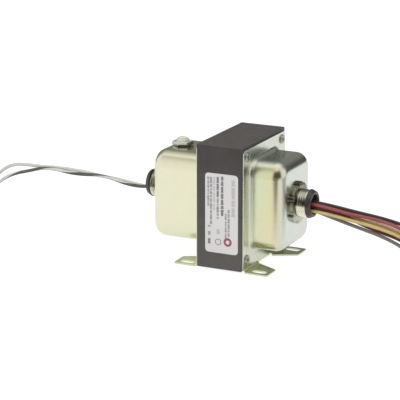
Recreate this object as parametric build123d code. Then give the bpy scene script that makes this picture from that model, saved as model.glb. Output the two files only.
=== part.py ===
"""Foot-mounted control transformer: lamination stack, two drawn end bells, conduit hubs, breaker and leads.

Millimetres. +Z is up, +X runs towards the shallow bell with the seven leads, and the label faces -Y.
The origin is the centre of the four foot slots, on the underside of the feet.
"""
import os
from math import cos, pi, radians, sin, tan

from build123d import *

os.makedirs("parts", exist_ok=True)

# Lamination stack: square-tongue E and I stampings, legs along Y
tongue = 31.75
bar = tongue / 2
window_length = 1.5 * tongue
stack_length = 3 * tongue
stack_depth = window_length + 2 * bar
stack_thickness = 36.6
pack_count = 6
core_lift = 1.5
core_hole_d = 5.5

# End bells: each one drawn from a single sheet, with its two feet bent out of the flange
sheet = 1.2
flange_margin = 6.4
flange_top_gap = 2.5
flange_corner_r = 2.5
cup_width = 56.0
cup_height = 69.3
cup_lift = 13.1
root_r = 3.0
short_cup_depth = 26.9
short_corner_r = 12.0
short_end_r = 9.0
deep_cup_depth = 43.9
deep_corner_r = 13.0
deep_end_r = 8.5

# Feet
foot_bend_r = 1.5
foot_reach = 19.5
foot_root_y = 11.5
foot_tip_y = 21.5
foot_corner_r = 2.0
slot_spacing_x = 60.3
slot_length = 12.0
slot_width = 5.6

# Rivets through the four corners
rivet_d = 4.8
rivet_head_d = 8.6
rivet_head_h = 1.9
rivet_head_edge = 0.6
rivet_ring_d = 7.2
rivet_ring_h = 1.3
rivet_ring_edge = 0.7
rivet_mouth = 0.5
rivet_bore_d = 2.6
rivet_bore_depth = 7.0

# Coil
bobbin_clearance = 0.3
bobbin_wall = 1.0
bobbin_end_gap = 0.3
coil_reach = 14.5
coil_half_height = 29.4
coil_corner_r = 13.0
tape_wall = 0.8
bobbin_flange_rise = 0.4
middle_wall = 1.0
tape_gap = 0.1

# Conduit hubs
nipple_d = 21.3
nipple_bore_d = 15.8
nipple_collar_d = 27.0
nipple_collar = 3.0
nipple_chamfer = 0.6
knockout_d = 22.2
thread_clearance = 0.1
right_hub_rise = 0.45
right_nipple_out = 11.1
left_hub_rise = 1.85
left_nipple_out = 11.1
locknut_d = 32.2
locknut_lugs = 8
locknut_notch_d = 6.0
locknut_notch_out = 0.7
locknut_thickness = 3.5
locknut_rim = 2.3
locknut_rim_width = 2.6
locknut_bevel = 0.6
bushing_d = 22.4
bushing_end_d = 19.6
bushing_head = 3.5
bushing_bore_d = 14.4
bushing_sleeve = 7.5
bushing_fit = 0.1
bushing_mouth_r = 1.2

# Manual-reset breaker in the top of the deep bell
breaker_inset = 13.5
neck_d = 9.4
neck_bore_d = 7.0
neck_hole_d = 10.0
neck_flange_d = 12.0
neck_flange = 1.4
neck_above_nut = 2.3
neck_edge_r = 0.4
washer_d = 11.8
washer_thickness = 0.6
nut_flats = 14.3
nut_thickness = 2.4
nut_chamfer = 0.5
body_thickness = 15.0
body_width = 21.0
body_height = 22.0
body_wall = 1.2
body_floor = 2.0
body_corner_r = 1.5
shoulder_d = 10.6
shoulder_height = 1.2
button_d = 6.4
button_rise = 1.1
button_dome = 1.0
button_collar_d = 8.4
button_collar = 1.2
button_travel = 3.5
button_stop_gap = 0.2
button_pin_d = 3.0
button_blade_gap = 0.3
terminal_thickness = 0.8
terminal_width = 6.3
terminal_pitch = 10.0
terminal_below = 11.0
terminal_inside = 4.5
terminal_tip = 1.25
solder_rise = 3.5
blade_thickness = 0.5
blade_width = 5.0
blade_crown = 1.5
blade_flat = 3.0

# Rating label on the near side of the stack
label_width = 27.1
label_height = 61.5
label_x = 2.25
label_z = 44.95
label_thickness = 0.2
label_corner_r = 2.8

# Leads
lead_d = 2.7
conductor_d = 1.2
strip_length = 8.0
arc_share = 0.45

# Planes worked out from the sizes above
core_x = stack_thickness / 2
core_z = core_lift + stack_length / 2
hole_y = window_length / 2 + bar / 2
hole_z = tongue + bar / 2
flange_width = 2 * (hole_y + flange_margin)
face_x = core_x + sheet
cup_z = core_lift + cup_lift + cup_height / 2
cup_top = cup_z + cup_height / 2
right_end = face_x + short_cup_depth
left_end = face_x + deep_cup_depth
right_hub_z = cup_z + right_hub_rise
left_hub_z = cup_z + left_hub_rise
coil_face = core_x + coil_reach
breaker_top = cup_top - sheet - shoulder_height
terminal_low = breaker_top - body_height - terminal_below


def side_block(x0, x1, width, height, z, corner_r):
    """A rounded block standing on a YZ plane, from x0 to x1, centred on the given height."""
    plane = Plane(origin=(x0, 0, z), x_dir=(0, 1, 0), z_dir=(1, 0, 0))
    return extrude(plane * RectangleRounded(width, height, corner_r), amount=x1 - x0)


def rod_x(x0, x1, radius, y, z):
    """A round bar along X."""
    return extrude(Plane(origin=(x0, y, z), z_dir=(1, 0, 0)) * Circle(radius), amount=x1 - x0)


def turned(points, plane_origin, direction):
    """A turned solid from (along, radius) points, revolved about an axis through the origin given."""
    outline = Polyline(*[(radius, along) for along, radius in points], close=True)
    solid = revolve(Plane.XZ * make_face(outline), Axis.Z)
    return Plane(origin=plane_origin, z_dir=direction) * solid


def write(solid, name):
    """Writes one node."""
    solid.label = name
    export_step(solid, f"parts/{name}.step")
    print(f"{name:20s} {len(solid.solids())} solids {solid.volume:10.1f} mm3")


def core_packs():
    """Alternately turned packs of E and of I stampings, with the corner holes through them."""
    pack = stack_thickness / pack_count
    e_packs = []
    i_packs = []
    for index in range(pack_count):
        turn = 1 if index % 2 == 0 else -1
        x0 = -core_x + index * pack
        whole = Pos(x0 + pack / 2, 0, core_z) * Box(pack, stack_depth, stack_length)
        i_cut = Pos(x0 + pack / 2, turn * (stack_depth - bar) / 2, core_z) * Box(pack, bar, stack_length)
        for side in (-1, 1):
            window = Box(pack, window_length, bar)
            whole -= Pos(x0 + pack / 2, 0, core_z + side * (tongue + bar) / 2) * window
        for y in (-hole_y, hole_y):
            for z in (-hole_z, hole_z):
                hole = rod_x(x0, x0 + pack, core_hole_d / 2, y, core_z + z)
                whole -= hole
        e_packs.append(whole - i_cut)
        i_packs.append(whole & i_cut)
    return Compound(e_packs), Compound(i_packs)


def foot_pair(bell_face):
    """The two feet of the right-hand bell: sheet bent out of the flange, slotted, with slanted inner edges."""
    tip_x = bell_face + foot_reach
    bend_x = bell_face + foot_bend_r
    bend_z = sheet + foot_bend_r
    half = flange_width / 2
    outer_r = foot_bend_r + sheet
    outer_arc = RadiusArc((core_x, bend_z), (bend_x, 0), outer_r)
    under = Polyline((bend_x, 0), (tip_x, 0), (tip_x, sheet), (bend_x, sheet))
    inner_arc = RadiusArc((bend_x, sheet), (bell_face, bend_z), -foot_bend_r)
    closing = Polyline((bell_face, bend_z), (core_x, bend_z))
    section = make_face([outer_arc.edges(), under.edges(), inner_arc.edges(), closing.edges()])
    strip = extrude(Plane(origin=(0, half, 0), z_dir=(0, -1, 0), x_dir=(1, 0, 0)) * section, amount=flange_width)
    feet = []
    for side in (-1, 1):
        plan = make_face(Polyline((core_x, side * foot_root_y), (bell_face, side * foot_root_y),
                                  (tip_x, side * foot_tip_y), (tip_x, side * half),
                                  (core_x, side * half), close=True))
        block = extrude(plan, amount=2 * bend_z)
        tips = block.edges().filter_by(Axis.Z).group_by(Axis.X)[-1]
        foot = strip & fillet(tips, foot_corner_r)
        slot = extrude(SlotOverall(slot_length, slot_width), amount=sheet)
        feet.append(foot - Pos(slot_spacing_x / 2, side * hole_y, 0) * slot)
    return feet


def end_bell(depth, corner_r, end_r, hub_z):
    """One drawn bell on the +X side: flange, filleted cup of even wall, knockout, corner holes and feet."""
    half = flange_width / 2
    top = core_lift + stack_length - flange_top_gap
    height = top - core_lift
    end = face_x + depth
    flange = Pos(core_x + sheet / 2, 0, core_lift + height / 2) * Box(sheet, flange_width, height)
    top_corners = flange.edges().filter_by(Axis.X).group_by(Axis.Z)[-1]
    flange = fillet(top_corners, flange_corner_r)
    cup = side_block(face_x, end, cup_width, cup_height, cup_z, corner_r)
    cup = fillet(cup.faces().sort_by(Axis.X)[-1].edges(), end_r)
    shell = flange + cup
    shell = fillet(edges_at(shell, face_x, cup_width, cup_height), root_r)
    inner_width = cup_width - 2 * sheet
    inner_height = cup_height - 2 * sheet
    hollow = side_block(core_x, end - sheet, inner_width, inner_height, cup_z, corner_r - sheet)
    hollow = fillet(hollow.faces().sort_by(Axis.X)[-1].edges(), end_r - sheet)
    shell -= hollow
    shell = fillet(edges_at(shell, core_x, inner_width, inner_height), root_r + sheet)
    for y in (-hole_y, hole_y):
        for z in (-hole_z, hole_z):
            shell -= rod_x(core_x, face_x, core_hole_d / 2, y, core_z + z)
    shell -= rod_x(end - sheet, end, knockout_d / 2, 0, hub_z)
    for side in (-1, 1):
        corner = Pos(core_x + sheet / 2, side * (half + foot_root_y) / 2, 0)
        clear = corner * Box(sheet, half - foot_root_y, 2 * (sheet + foot_bend_r))
        shell -= clear
    for foot in foot_pair(face_x):
        shell += foot
    return shell


def edges_at(shape, x, width, height):
    """The edges of a cup's outline, all round, on the plane at x."""
    found = []
    for edge in shape.edges():
        box = edge.bounding_box()
        flat = abs(box.min.X - x) < 0.01 and abs(box.max.X - x) < 0.01
        inside_y = max(abs(box.min.Y), abs(box.max.Y)) < width / 2 + 0.01
        inside_z = max(abs(box.min.Z - cup_z), abs(box.max.Z - cup_z)) < height / 2 + 0.01
        if flat and inside_y and inside_z:
            found.append(edge)
    return found


def mirrored(shape):
    """The same form on the -X side."""
    return mirror(shape, Plane.YZ)


def rivets():
    """Semi-tubular rivets: domed heads on the left flange, rolled rings with a centre hole on the right."""
    head_r = rivet_head_d / 2
    ring_r = rivet_ring_d / 2
    shank_r = rivet_d / 2
    bore_r = rivet_bore_d / 2
    head_end = -face_x - rivet_head_h
    tip = face_x + rivet_ring_h
    points = [(head_end, 0), (head_end, head_r - rivet_head_h), (-face_x - rivet_head_edge, head_r),
              (-face_x, head_r), (-face_x, shank_r), (face_x, shank_r), (face_x, ring_r),
              (tip - rivet_ring_edge, ring_r), (tip, ring_r - rivet_ring_edge), (tip, bore_r + rivet_mouth),
              (tip - rivet_mouth, bore_r), (tip - rivet_bore_depth, bore_r), (tip - rivet_bore_depth, 0)]
    made = []
    for y in (-hole_y, hole_y):
        for z in (-hole_z, hole_z):
            made.append(turned(points, (0, y, core_z + z), (1, 0, 0)))
    return Compound(made)


def coil_ring(y0, y1, outer_x, outer_z, outer_r, inner_x, inner_z, inner_r):
    """A rounded ring round the centre leg, from y0 to y1, with half sizes outside and inside."""
    plane = Plane(origin=(0, y1, core_z), x_dir=(1, 0, 0), z_dir=(0, -1, 0))
    ring = RectangleRounded(2 * outer_x, 2 * outer_z, outer_r)
    if inner_r > 0:
        ring -= RectangleRounded(2 * inner_x, 2 * inner_z, inner_r)
    else:
        ring -= Rectangle(2 * inner_x, 2 * inner_z)
    return extrude(plane * ring, amount=y1 - y0)


def coil():
    """Bobbin with two end walls and a middle wall, and a winding and a tape wrap in each half."""
    tube_in_x = core_x + bobbin_clearance
    tube_in_z = bar + bobbin_clearance
    tube_x = tube_in_x + bobbin_wall
    tube_z = tube_in_z + bobbin_wall
    half = window_length / 2 - bobbin_end_gap
    wire_x = coil_face - tape_wall
    wire_z = coil_half_height - tape_wall
    wire_r = coil_corner_r - tape_wall
    flange_x = coil_face + bobbin_flange_rise
    flange_z = coil_half_height + bobbin_flange_rise
    flange_r = coil_corner_r + bobbin_flange_rise
    bobbin = coil_ring(-half, half, tube_x, tube_z, bobbin_wall, tube_in_x, tube_in_z, 0)
    for y0 in (-half, half - bobbin_wall):
        bobbin += coil_ring(y0, y0 + bobbin_wall, flange_x, flange_z, flange_r, tube_in_x, tube_in_z, 0)
    bobbin += coil_ring(-middle_wall / 2, middle_wall / 2, wire_x, wire_z, wire_r, tube_in_x, tube_in_z, 0)
    inner = half - bobbin_wall
    pieces = {"bobbin": bobbin}
    for name, side in (("primary", -1), ("secondary", 1)):
        near = side * middle_wall / 2
        far = side * inner
        y0, y1 = min(near, far), max(near, far)
        pieces[f"{name}_winding"] = coil_ring(y0, y1, wire_x, wire_z, wire_r, tube_x, tube_z, bobbin_wall)
        near = side * tape_gap / 2
        y0, y1 = min(near, far), max(near, far)
        tape = coil_ring(y0, y1, coil_face, coil_half_height, coil_corner_r, wire_x, wire_z, wire_r)
        pieces[f"{name}_tape"] = tape
    return pieces


def nipple(end, out, hub_z):
    """Chase nipple: a collar inside the bell, a plain-cylinder thread blank through it, and a clear bore."""
    collar_r = nipple_collar_d / 2
    shank_r = nipple_d / 2
    bore_r = nipple_bore_d / 2
    inside = -sheet - nipple_collar
    points = [(inside, bore_r), (inside, collar_r), (-sheet, collar_r), (-sheet, shank_r),
              (out - nipple_chamfer, shank_r), (out, shank_r - nipple_chamfer), (out, bore_r)]
    return turned(points, (end, 0, hub_z), (1, 0, 0))


def locknut(end, hub_z):
    """Stamped locknut: a dished ring with bevelled rim, notched all round into lugs."""
    bore_r = nipple_d / 2 + thread_clearance
    rim_r = locknut_d / 2
    inner_rim = rim_r - locknut_rim_width
    points = [(0, bore_r), (0, rim_r), (locknut_rim, rim_r), (locknut_rim + locknut_bevel, rim_r - locknut_bevel),
              (locknut_thickness, inner_rim), (locknut_thickness, bore_r)]
    ring = turned(points, (end, 0, hub_z), (1, 0, 0))
    for index in range(locknut_lugs):
        angle = 2 * pi * (index + 0.5) / locknut_lugs
        y = (rim_r + locknut_notch_out) * cos(angle)
        z = (rim_r + locknut_notch_out) * sin(angle)
        ring -= rod_x(end, end + locknut_thickness, locknut_notch_d / 2, y, hub_z + z)
    return ring


def bushing(end, out, hub_z):
    """Insulating bushing: rounded head on the nipple's rim and a sleeve down its bore."""
    base_r = bushing_d / 2
    end_r = bushing_end_d / 2
    sleeve_r = nipple_bore_d / 2 - bushing_fit
    bore_r = bushing_bore_d / 2
    points = [(out - bushing_sleeve, bore_r), (out - bushing_sleeve, sleeve_r), (out, sleeve_r), (out, base_r),
              (out + bushing_head, end_r), (out + bushing_head, bore_r)]
    ring = turned(points, (end, 0, hub_z), (1, 0, 0))
    last = ring.edges().filter_by(GeomType.CIRCLE).group_by(Axis.X)[-1]
    ring = fillet(last, bushing_mouth_r)
    return ring


def breaker(end):
    """The breaker's pieces, in place in the top wall of the deep bell."""
    x = -(end - breaker_inset)
    roof = cup_top - sheet
    body_top = breaker_top
    body_z = body_top - body_height / 2
    floor_top = body_top - body_height + body_floor
    ceiling = body_top - body_wall
    body = Pos(x, 0, body_z) * Box(body_thickness, body_width, body_height)
    body = fillet(body.edges().filter_by(Axis.Z), body_corner_r)
    cavity_height = ceiling - floor_top
    cavity = Pos(x, 0, floor_top + cavity_height / 2) * Box(
        body_thickness - 2 * body_wall, body_width - 2 * body_wall, cavity_height)
    body -= cavity
    body += Pos(x, 0, body_top + shoulder_height / 2) * Cylinder(shoulder_d / 2, shoulder_height)
    neck_fit = Pos(x, 0, (ceiling + roof) / 2) * Cylinder(neck_d / 2, roof - ceiling)
    body -= neck_fit

    terminals = []
    terminal_top = floor_top + terminal_inside
    terminal_bottom = terminal_low
    terminal_height = terminal_top - terminal_bottom
    for side in (-1, 1):
        blade = Pos(x, side * terminal_pitch / 2, (terminal_top + terminal_bottom) / 2) * Box(
            terminal_thickness, terminal_width, terminal_height)
        body -= blade
        tip = blade.edges().filter_by(Axis.X).group_by(Axis.Z)[0]
        terminals.append(chamfer(tip, terminal_tip))

    crown = terminal_top + blade_crown
    reach = terminal_pitch / 2 + blade_flat / 2
    foot_y = terminal_pitch / 2 - blade_flat / 2
    lower = Polyline((-reach, terminal_top), (-foot_y, terminal_top))
    rise = ThreePointArc((-foot_y, terminal_top), (0, crown), (foot_y, terminal_top))
    upper_rise = ThreePointArc((-foot_y, terminal_top + blade_thickness), (0, crown + blade_thickness),
                               (foot_y, terminal_top + blade_thickness))
    outline = [lower.edges(), rise.edges(),
               Polyline((foot_y, terminal_top), (reach, terminal_top), (reach, terminal_top + blade_thickness),
                        (foot_y, terminal_top + blade_thickness)).edges(),
               upper_rise.edges(),
               Polyline((-foot_y, terminal_top + blade_thickness), (-reach, terminal_top + blade_thickness),
                        (-reach, terminal_top)).edges()]
    side_plane = Plane(origin=(x - blade_width / 2, 0, 0), x_dir=(0, 1, 0), z_dir=(1, 0, 0))
    bimetal = extrude(side_plane * make_face(outline), amount=blade_width)

    nut_top = cup_top + washer_thickness + nut_thickness
    neck_top = nut_top + neck_above_nut
    neck_bottom = ceiling - neck_flange
    bore_r = neck_bore_d / 2
    points = [(neck_bottom, bore_r), (neck_bottom, neck_flange_d / 2), (ceiling, neck_flange_d / 2),
              (ceiling, neck_d / 2), (neck_top, neck_d / 2), (neck_top, bore_r)]
    neck = turned(points, (x, 0, 0), (0, 0, 1))
    neck = fillet(neck.edges().filter_by(GeomType.CIRCLE).group_by(Axis.Z)[-1], neck_edge_r)

    washer = Pos(x, 0, cup_top + washer_thickness / 2) * Cylinder(washer_d / 2, washer_thickness)
    washer -= Pos(x, 0, cup_top + washer_thickness / 2) * Cylinder(neck_d / 2 + thread_clearance, washer_thickness)

    nut_base = Plane(origin=(x, 0, nut_top - nut_thickness))
    hexagon = nut_base * RegularPolygon(nut_flats / 2, 6, major_radius=False, rotation=30)
    hexagon = extrude(hexagon, amount=nut_thickness)
    corner_r = nut_flats / 2 / cos(radians(30))
    drop = nut_chamfer * tan(radians(30))
    cone = turned([(0, 0), (0, corner_r), (nut_thickness - drop, corner_r),
                   (nut_thickness, corner_r - nut_chamfer), (nut_thickness, 0)], (x, 0, nut_top - nut_thickness),
                  (0, 0, 1))
    nut = (hexagon & cone) - Pos(x, 0, nut_top - nut_thickness / 2) * Cylinder(
        neck_d / 2 + thread_clearance, nut_thickness)

    button_r = button_d / 2
    collar_top = neck_bottom - button_travel - button_stop_gap
    collar_bottom = collar_top - button_collar
    pin_bottom = crown + blade_thickness + button_blade_gap
    button_top = neck_top + button_rise
    points = [(pin_bottom, 0), (pin_bottom, button_pin_d / 2), (collar_bottom, button_pin_d / 2),
              (collar_bottom, button_collar_d / 2), (collar_top, button_collar_d / 2), (collar_top, button_r),
              (button_top, button_r), (button_top, 0)]
    button = turned(points, (x, 0, 0), (0, 0, 1))
    button = fillet(button.edges().filter_by(GeomType.CIRCLE).group_by(Axis.Z)[-1], button_dome)
    print(f"button axis x {x:.2f}, top {button_top:.2f}, terminal z {terminal_bottom:.2f} to {terminal_top:.2f}")
    pieces = {"breaker_body": body, "breaker_terminals": Compound(terminals), "breaker_bimetal": bimetal,
              "breaker_neck": neck, "breaker_washer": washer, "breaker_nut": nut, "reset_button": button}
    return pieces, x


def label():
    """Thin adhesive plate on the near side of the stack."""
    plane = Plane(origin=(label_x, -stack_depth / 2, label_z), x_dir=(1, 0, 0), z_dir=(0, -1, 0))
    return extrude(plane * RectangleRounded(label_width, label_height, label_corner_r), amount=label_thickness)


def corner_radii(points):
    """Each corner's arc: a share of the shorter run beside it over the tangent of half its turn."""
    radii = []
    for before, at, after in zip(points, points[1:], points[2:]):
        run_in = Vector(*at) - Vector(*before)
        run_out = Vector(*after) - Vector(*at)
        half_turn = radians(run_in.get_angle(run_out)) / 2
        radii.append(arc_share * min(run_in.length, run_out.length) / tan(half_turn))
    return radii


def lead(name, points):
    """An insulated lead: straight runs joined by tangent arcs."""
    path = FilletPolyline(*points, radius=corner_radii(points))
    start = (Vector(*points[1]) - Vector(*points[0])).normalized()
    ring = Plane(origin=points[0], z_dir=start) * Circle(lead_d / 2)
    tube = sweep(ring, path=path)
    section = pi * (lead_d / 2) ** 2
    runs = [(Vector(*b) - Vector(*a)).length for a, b in zip(points, points[1:])]
    print(f"{name}: length {path.length:.1f}, least radius {min(corner_radii(points)):.1f}, "
          f"volume over section times length {tube.volume / section / path.length:.4f}, "
          f"runs {min(runs):.1f} to {max(runs):.1f}")
    return tube


def stripped_end(points):
    """The bare conductor beyond a lead's cut insulation."""
    last = Vector(*points[-1])
    direction = (last - Vector(*points[-2])).normalized()
    return extrude(Plane(origin=last, z_dir=direction) * Circle(conductor_d / 2), amount=strip_length)


# Routes of the leads, from the coil or the breaker out through the hubs and down to the surface
terminal_face = left_end - breaker_inset + terminal_thickness / 2
left_routes = {
    "white_lead": [
        (-coil_face, -2.3, 46.5), (-48.0, -2.3, 46.5), (-64.0, -1.9, 46.9), (-79.0, -1.8, 46.9), (-90.0, 0.1, 49.3),
        (-103.0, -2.0, 49.3), (-112.0, 0.0, 47.9), (-122.0, 2.0, 50.7), (-137.0, 0.1, 53.2), (-153.0, -2.0, 50.4),
        (-163.0, 0.1, 49.4), (-172.5, 2.0, 51.9), (-186.0, 1.5, 52.4), (-199.0, 1.0, 52.2), (-211.0, 0.8, 49.2),
        (-220.5, 1.2, 41.5), (-227.5, 2.0, 31.0), (-233.5, 3.0, 19.6), (-241.0, 4.3, 9.3), (-251.5, 6.0, 2.6),
        (-263.0, 8.0, 1.5),
    ],
    "black_lead": [
        (-terminal_face, 5.0, 52.0), (-60.0, 5.0, 52.0), (-78.5, 1.8, 46.7), (-90.0, -0.1, 44.9),
        (-103.0, 2.0, 49.3), (-112.0, 0.0, 51.9), (-122.0, -2.0, 50.7), (-137.0, -0.1, 48.8), (-153.0, 2.0, 50.4),
        (-163.0, -0.1, 53.8), (-172.5, -2.2, 51.6), (-185.0, -3.0, 48.1), (-198.0, -3.2, 44.8),
        (-211.0, -3.6, 40.0), (-222.0, -4.2, 31.5), (-230.5, -5.0, 20.5), (-238.0, -6.0, 9.8), (-248.0, -7.5, 2.4),
        (-259.0, -9.6, 1.5),
    ],
}
right_routes = {
    "black_tap_lead": [
        (coil_face, 1.0, 51.5), (47.5, 1.0, 51.5), (65.0, 0.9, 51.0), (83.0, 1.6, 49.0), (102.0, 1.5, 46.6),
        (117.0, 1.3, 45.2), (134.0, 1.9, 41.5), (152.0, 2.6, 34.0), (169.0, 3.1, 24.0), (186.0, 3.4, 12.8),
        (202.0, 3.0, 4.2), (219.0, 2.6, 1.5), (236.0, 3.6, 1.5), (250.0, 3.2, 1.5),
    ],
    "red_lead": [
        (coil_face, -2.4, 50.6), (47.5, -2.4, 50.6), (65.0, -2.0, 50.2), (83.0, -1.3, 47.6), (102.0, -1.3, 44.8),
        (117.0, -1.3, 43.8), (134.0, -3.4, 39.5), (152.0, -6.0, 31.5), (169.0, -8.2, 21.0), (185.0, -9.8, 10.2),
        (201.0, -10.2, 3.0), (218.0, -9.8, 1.5), (235.0, -11.0, 1.5), (249.0, -12.6, 1.5),
    ],
    "orange_lead": [
        (coil_face, 0.4, 47.4), (47.5, 0.4, 47.4), (65.0, 0.3, 47.1), (83.0, 0.8, 44.8), (102.0, 1.2, 42.4),
        (117.0, 1.3, 41.7), (134.0, 0.6, 37.0), (151.0, -0.2, 29.0), (168.0, -0.6, 18.6), (184.0, -0.4, 8.6),
        (200.0, -0.1, 2.4), (217.0, -0.6, 1.5), (235.0, 0.2, 1.5), (249.0, -0.4, 1.5),
    ],
    "yellow_lead": [
        (coil_face, -2.7, 44.8), (47.5, -2.7, 44.8), (65.0, -2.3, 44.9), (83.0, -2.2, 42.5), (102.0, -1.8, 39.6),
        (117.0, -1.3, 38.8), (134.0, -3.0, 33.4), (151.0, -4.9, 24.4), (167.0, -6.2, 14.4), (183.0, -6.8, 5.6),
        (199.0, -6.5, 1.6), (216.0, -7.2, 1.5), (234.0, -6.8, 1.5), (248.0, -7.6, 1.5),
    ],
    "cream_lead": [
        (coil_face, 3.5, 45.4), (47.5, 3.5, 45.4), (65.0, 3.1, 45.5), (83.0, 2.6, 41.0), (102.0, 2.4, 37.2),
        (117.0, 1.4, 36.2), (134.0, 3.6, 30.6), (151.0, 5.3, 21.6), (167.0, 6.4, 11.8), (183.0, 6.9, 3.8),
        (199.0, 6.5, 1.5), (216.0, 6.6, 1.5), (233.0, 7.0, 1.5), (247.0, 6.6, 1.5),
    ],
    "brown_lead": [
        (coil_face, 3.6, 48.8), (47.5, 3.6, 48.8), (65.0, 3.1, 48.4), (83.0, 4.4, 43.8), (102.0, 5.4, 39.2),
        (117.0, 4.5, 33.1), (133.0, 6.4, 26.8), (149.0, 8.6, 17.8), (165.0, 9.8, 8.4), (180.0, 10.4, 2.6),
        (196.0, 10.0, 1.5), (213.0, 10.6, 1.5), (230.0, 10.2, 1.5), (244.0, 11.0, 1.5),
    ],
    "grey_lead": [
        (coil_face, 0.6, 44.0), (47.5, 0.6, 44.0), (65.0, 0.5, 44.2), (83.0, 0.6, 38.1), (102.0, 0.2, 35.0),
        (117.0, 0.6, 31.8), (133.0, -0.9, 25.0), (149.0, -2.4, 16.0), (165.0, -3.3, 6.9), (180.0, -3.6, 2.0),
        (196.0, -3.2, 1.5), (213.0, -3.8, 1.5), (230.0, -3.4, 1.5), (244.0, -4.0, 1.5),
    ],
}
jumper_z = terminal_low + solder_rise
jumper_y = -terminal_pitch / 2
jumper_drop = 2.6
jumper_drift = 1.2
jumper_route = [
    (-coil_face, jumper_y - jumper_drift, jumper_z + jumper_drop),
    (-coil_face - 5.8, jumper_y - jumper_drift, jumper_z + jumper_drop),
    (-coil_face - 11.4, jumper_y, jumper_z),
    (-(left_end - breaker_inset - terminal_thickness / 2), jumper_y, jumper_z),
]


def main():
    """Builds and writes every node."""
    e_packs, i_packs = core_packs()
    write(e_packs, "e_laminations")
    write(i_packs, "i_laminations")
    write(end_bell(short_cup_depth, short_corner_r, short_end_r, right_hub_z), "right_end_bell")
    left_bell = mirrored(end_bell(deep_cup_depth, deep_corner_r, deep_end_r, left_hub_z))
    pieces, breaker_x = breaker(left_end)
    left_bell -= Pos(breaker_x, 0, cup_top - sheet / 2) * Cylinder(neck_hole_d / 2, 2 * sheet)
    write(left_bell, "left_end_bell")
    write(rivets(), "core_rivets")
    for name, piece in coil().items():
        write(piece, name)
    write(nipple(right_end, right_nipple_out, right_hub_z), "right_nipple")
    write(locknut(right_end, right_hub_z), "right_locknut")
    write(bushing(right_end, right_nipple_out, right_hub_z), "right_bushing")
    write(mirrored(nipple(left_end, left_nipple_out, left_hub_z)), "left_nipple")
    write(mirrored(locknut(left_end, left_hub_z)), "left_locknut")
    write(mirrored(bushing(left_end, left_nipple_out, left_hub_z)), "left_bushing")
    for name, piece in pieces.items():
        write(piece, name)
    write(label(), "label")
    ends = []
    for name, points in {**left_routes, **right_routes}.items():
        write(lead(name, points), name)
        ends.append(stripped_end(points))
    write(Compound(ends), "lead_ends")
    write(lead("breaker_jumper", jumper_route), "breaker_jumper")


main()
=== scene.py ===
import math
import random

import bmesh
import bpy
from mathutils import Matrix, Vector


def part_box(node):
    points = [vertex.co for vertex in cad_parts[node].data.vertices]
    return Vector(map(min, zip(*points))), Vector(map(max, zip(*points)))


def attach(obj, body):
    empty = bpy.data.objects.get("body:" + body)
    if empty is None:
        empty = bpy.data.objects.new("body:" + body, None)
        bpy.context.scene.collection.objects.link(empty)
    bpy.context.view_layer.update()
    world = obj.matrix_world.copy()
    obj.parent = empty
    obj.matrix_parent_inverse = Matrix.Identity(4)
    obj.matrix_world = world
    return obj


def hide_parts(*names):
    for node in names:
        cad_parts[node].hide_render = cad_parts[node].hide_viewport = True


bl_info = {
    "name": "Control Transformer Dress",
    "version": (1, 0, 0),
    "blender": (4, 5, 0),
    "location": "View3D > Sidebar > Transformer",
    "description": "Finishes, leads and fine pieces of a foot-mounted control transformer",
    "category": "Object",
}

MM = 0.001
TURN = 2.0 * math.pi
BODY = "transformer"

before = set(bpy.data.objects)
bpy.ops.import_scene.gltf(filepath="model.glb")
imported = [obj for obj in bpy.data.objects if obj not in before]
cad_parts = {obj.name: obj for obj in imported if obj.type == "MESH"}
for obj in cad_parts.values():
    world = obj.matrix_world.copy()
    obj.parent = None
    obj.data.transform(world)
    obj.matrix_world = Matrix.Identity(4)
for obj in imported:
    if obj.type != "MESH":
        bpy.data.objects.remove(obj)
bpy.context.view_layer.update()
CORE_LOW, CORE_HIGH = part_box("e_laminations")
LABEL_LOW, LABEL_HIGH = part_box("label")
NUT_LOW, NUT_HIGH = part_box("breaker_nut")

# Lamination stack: thickness in millimetres and number of sheets
STACK_THICKNESS = 36.6
SHEET_COUNT = 66

# Conduit nipples, the bells' sheet and ends, and the height of each hub's middle, in millimetres
NIPPLE_RADIUS = 10.65
NIPPLE_BORE = 7.9
NIPPLE_COLLAR_RADIUS = 13.5
NIPPLE_COLLAR = 3.0
NIPPLE_CHAMFER = 0.6
NIPPLE_OUT = 11.1
BELL_SHEET = 1.2
RIGHT_BELL_END = 46.4
LEFT_BELL_END = 63.4
RIGHT_HUB_Z = 49.7
LEFT_HUB_Z = 51.1

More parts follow.
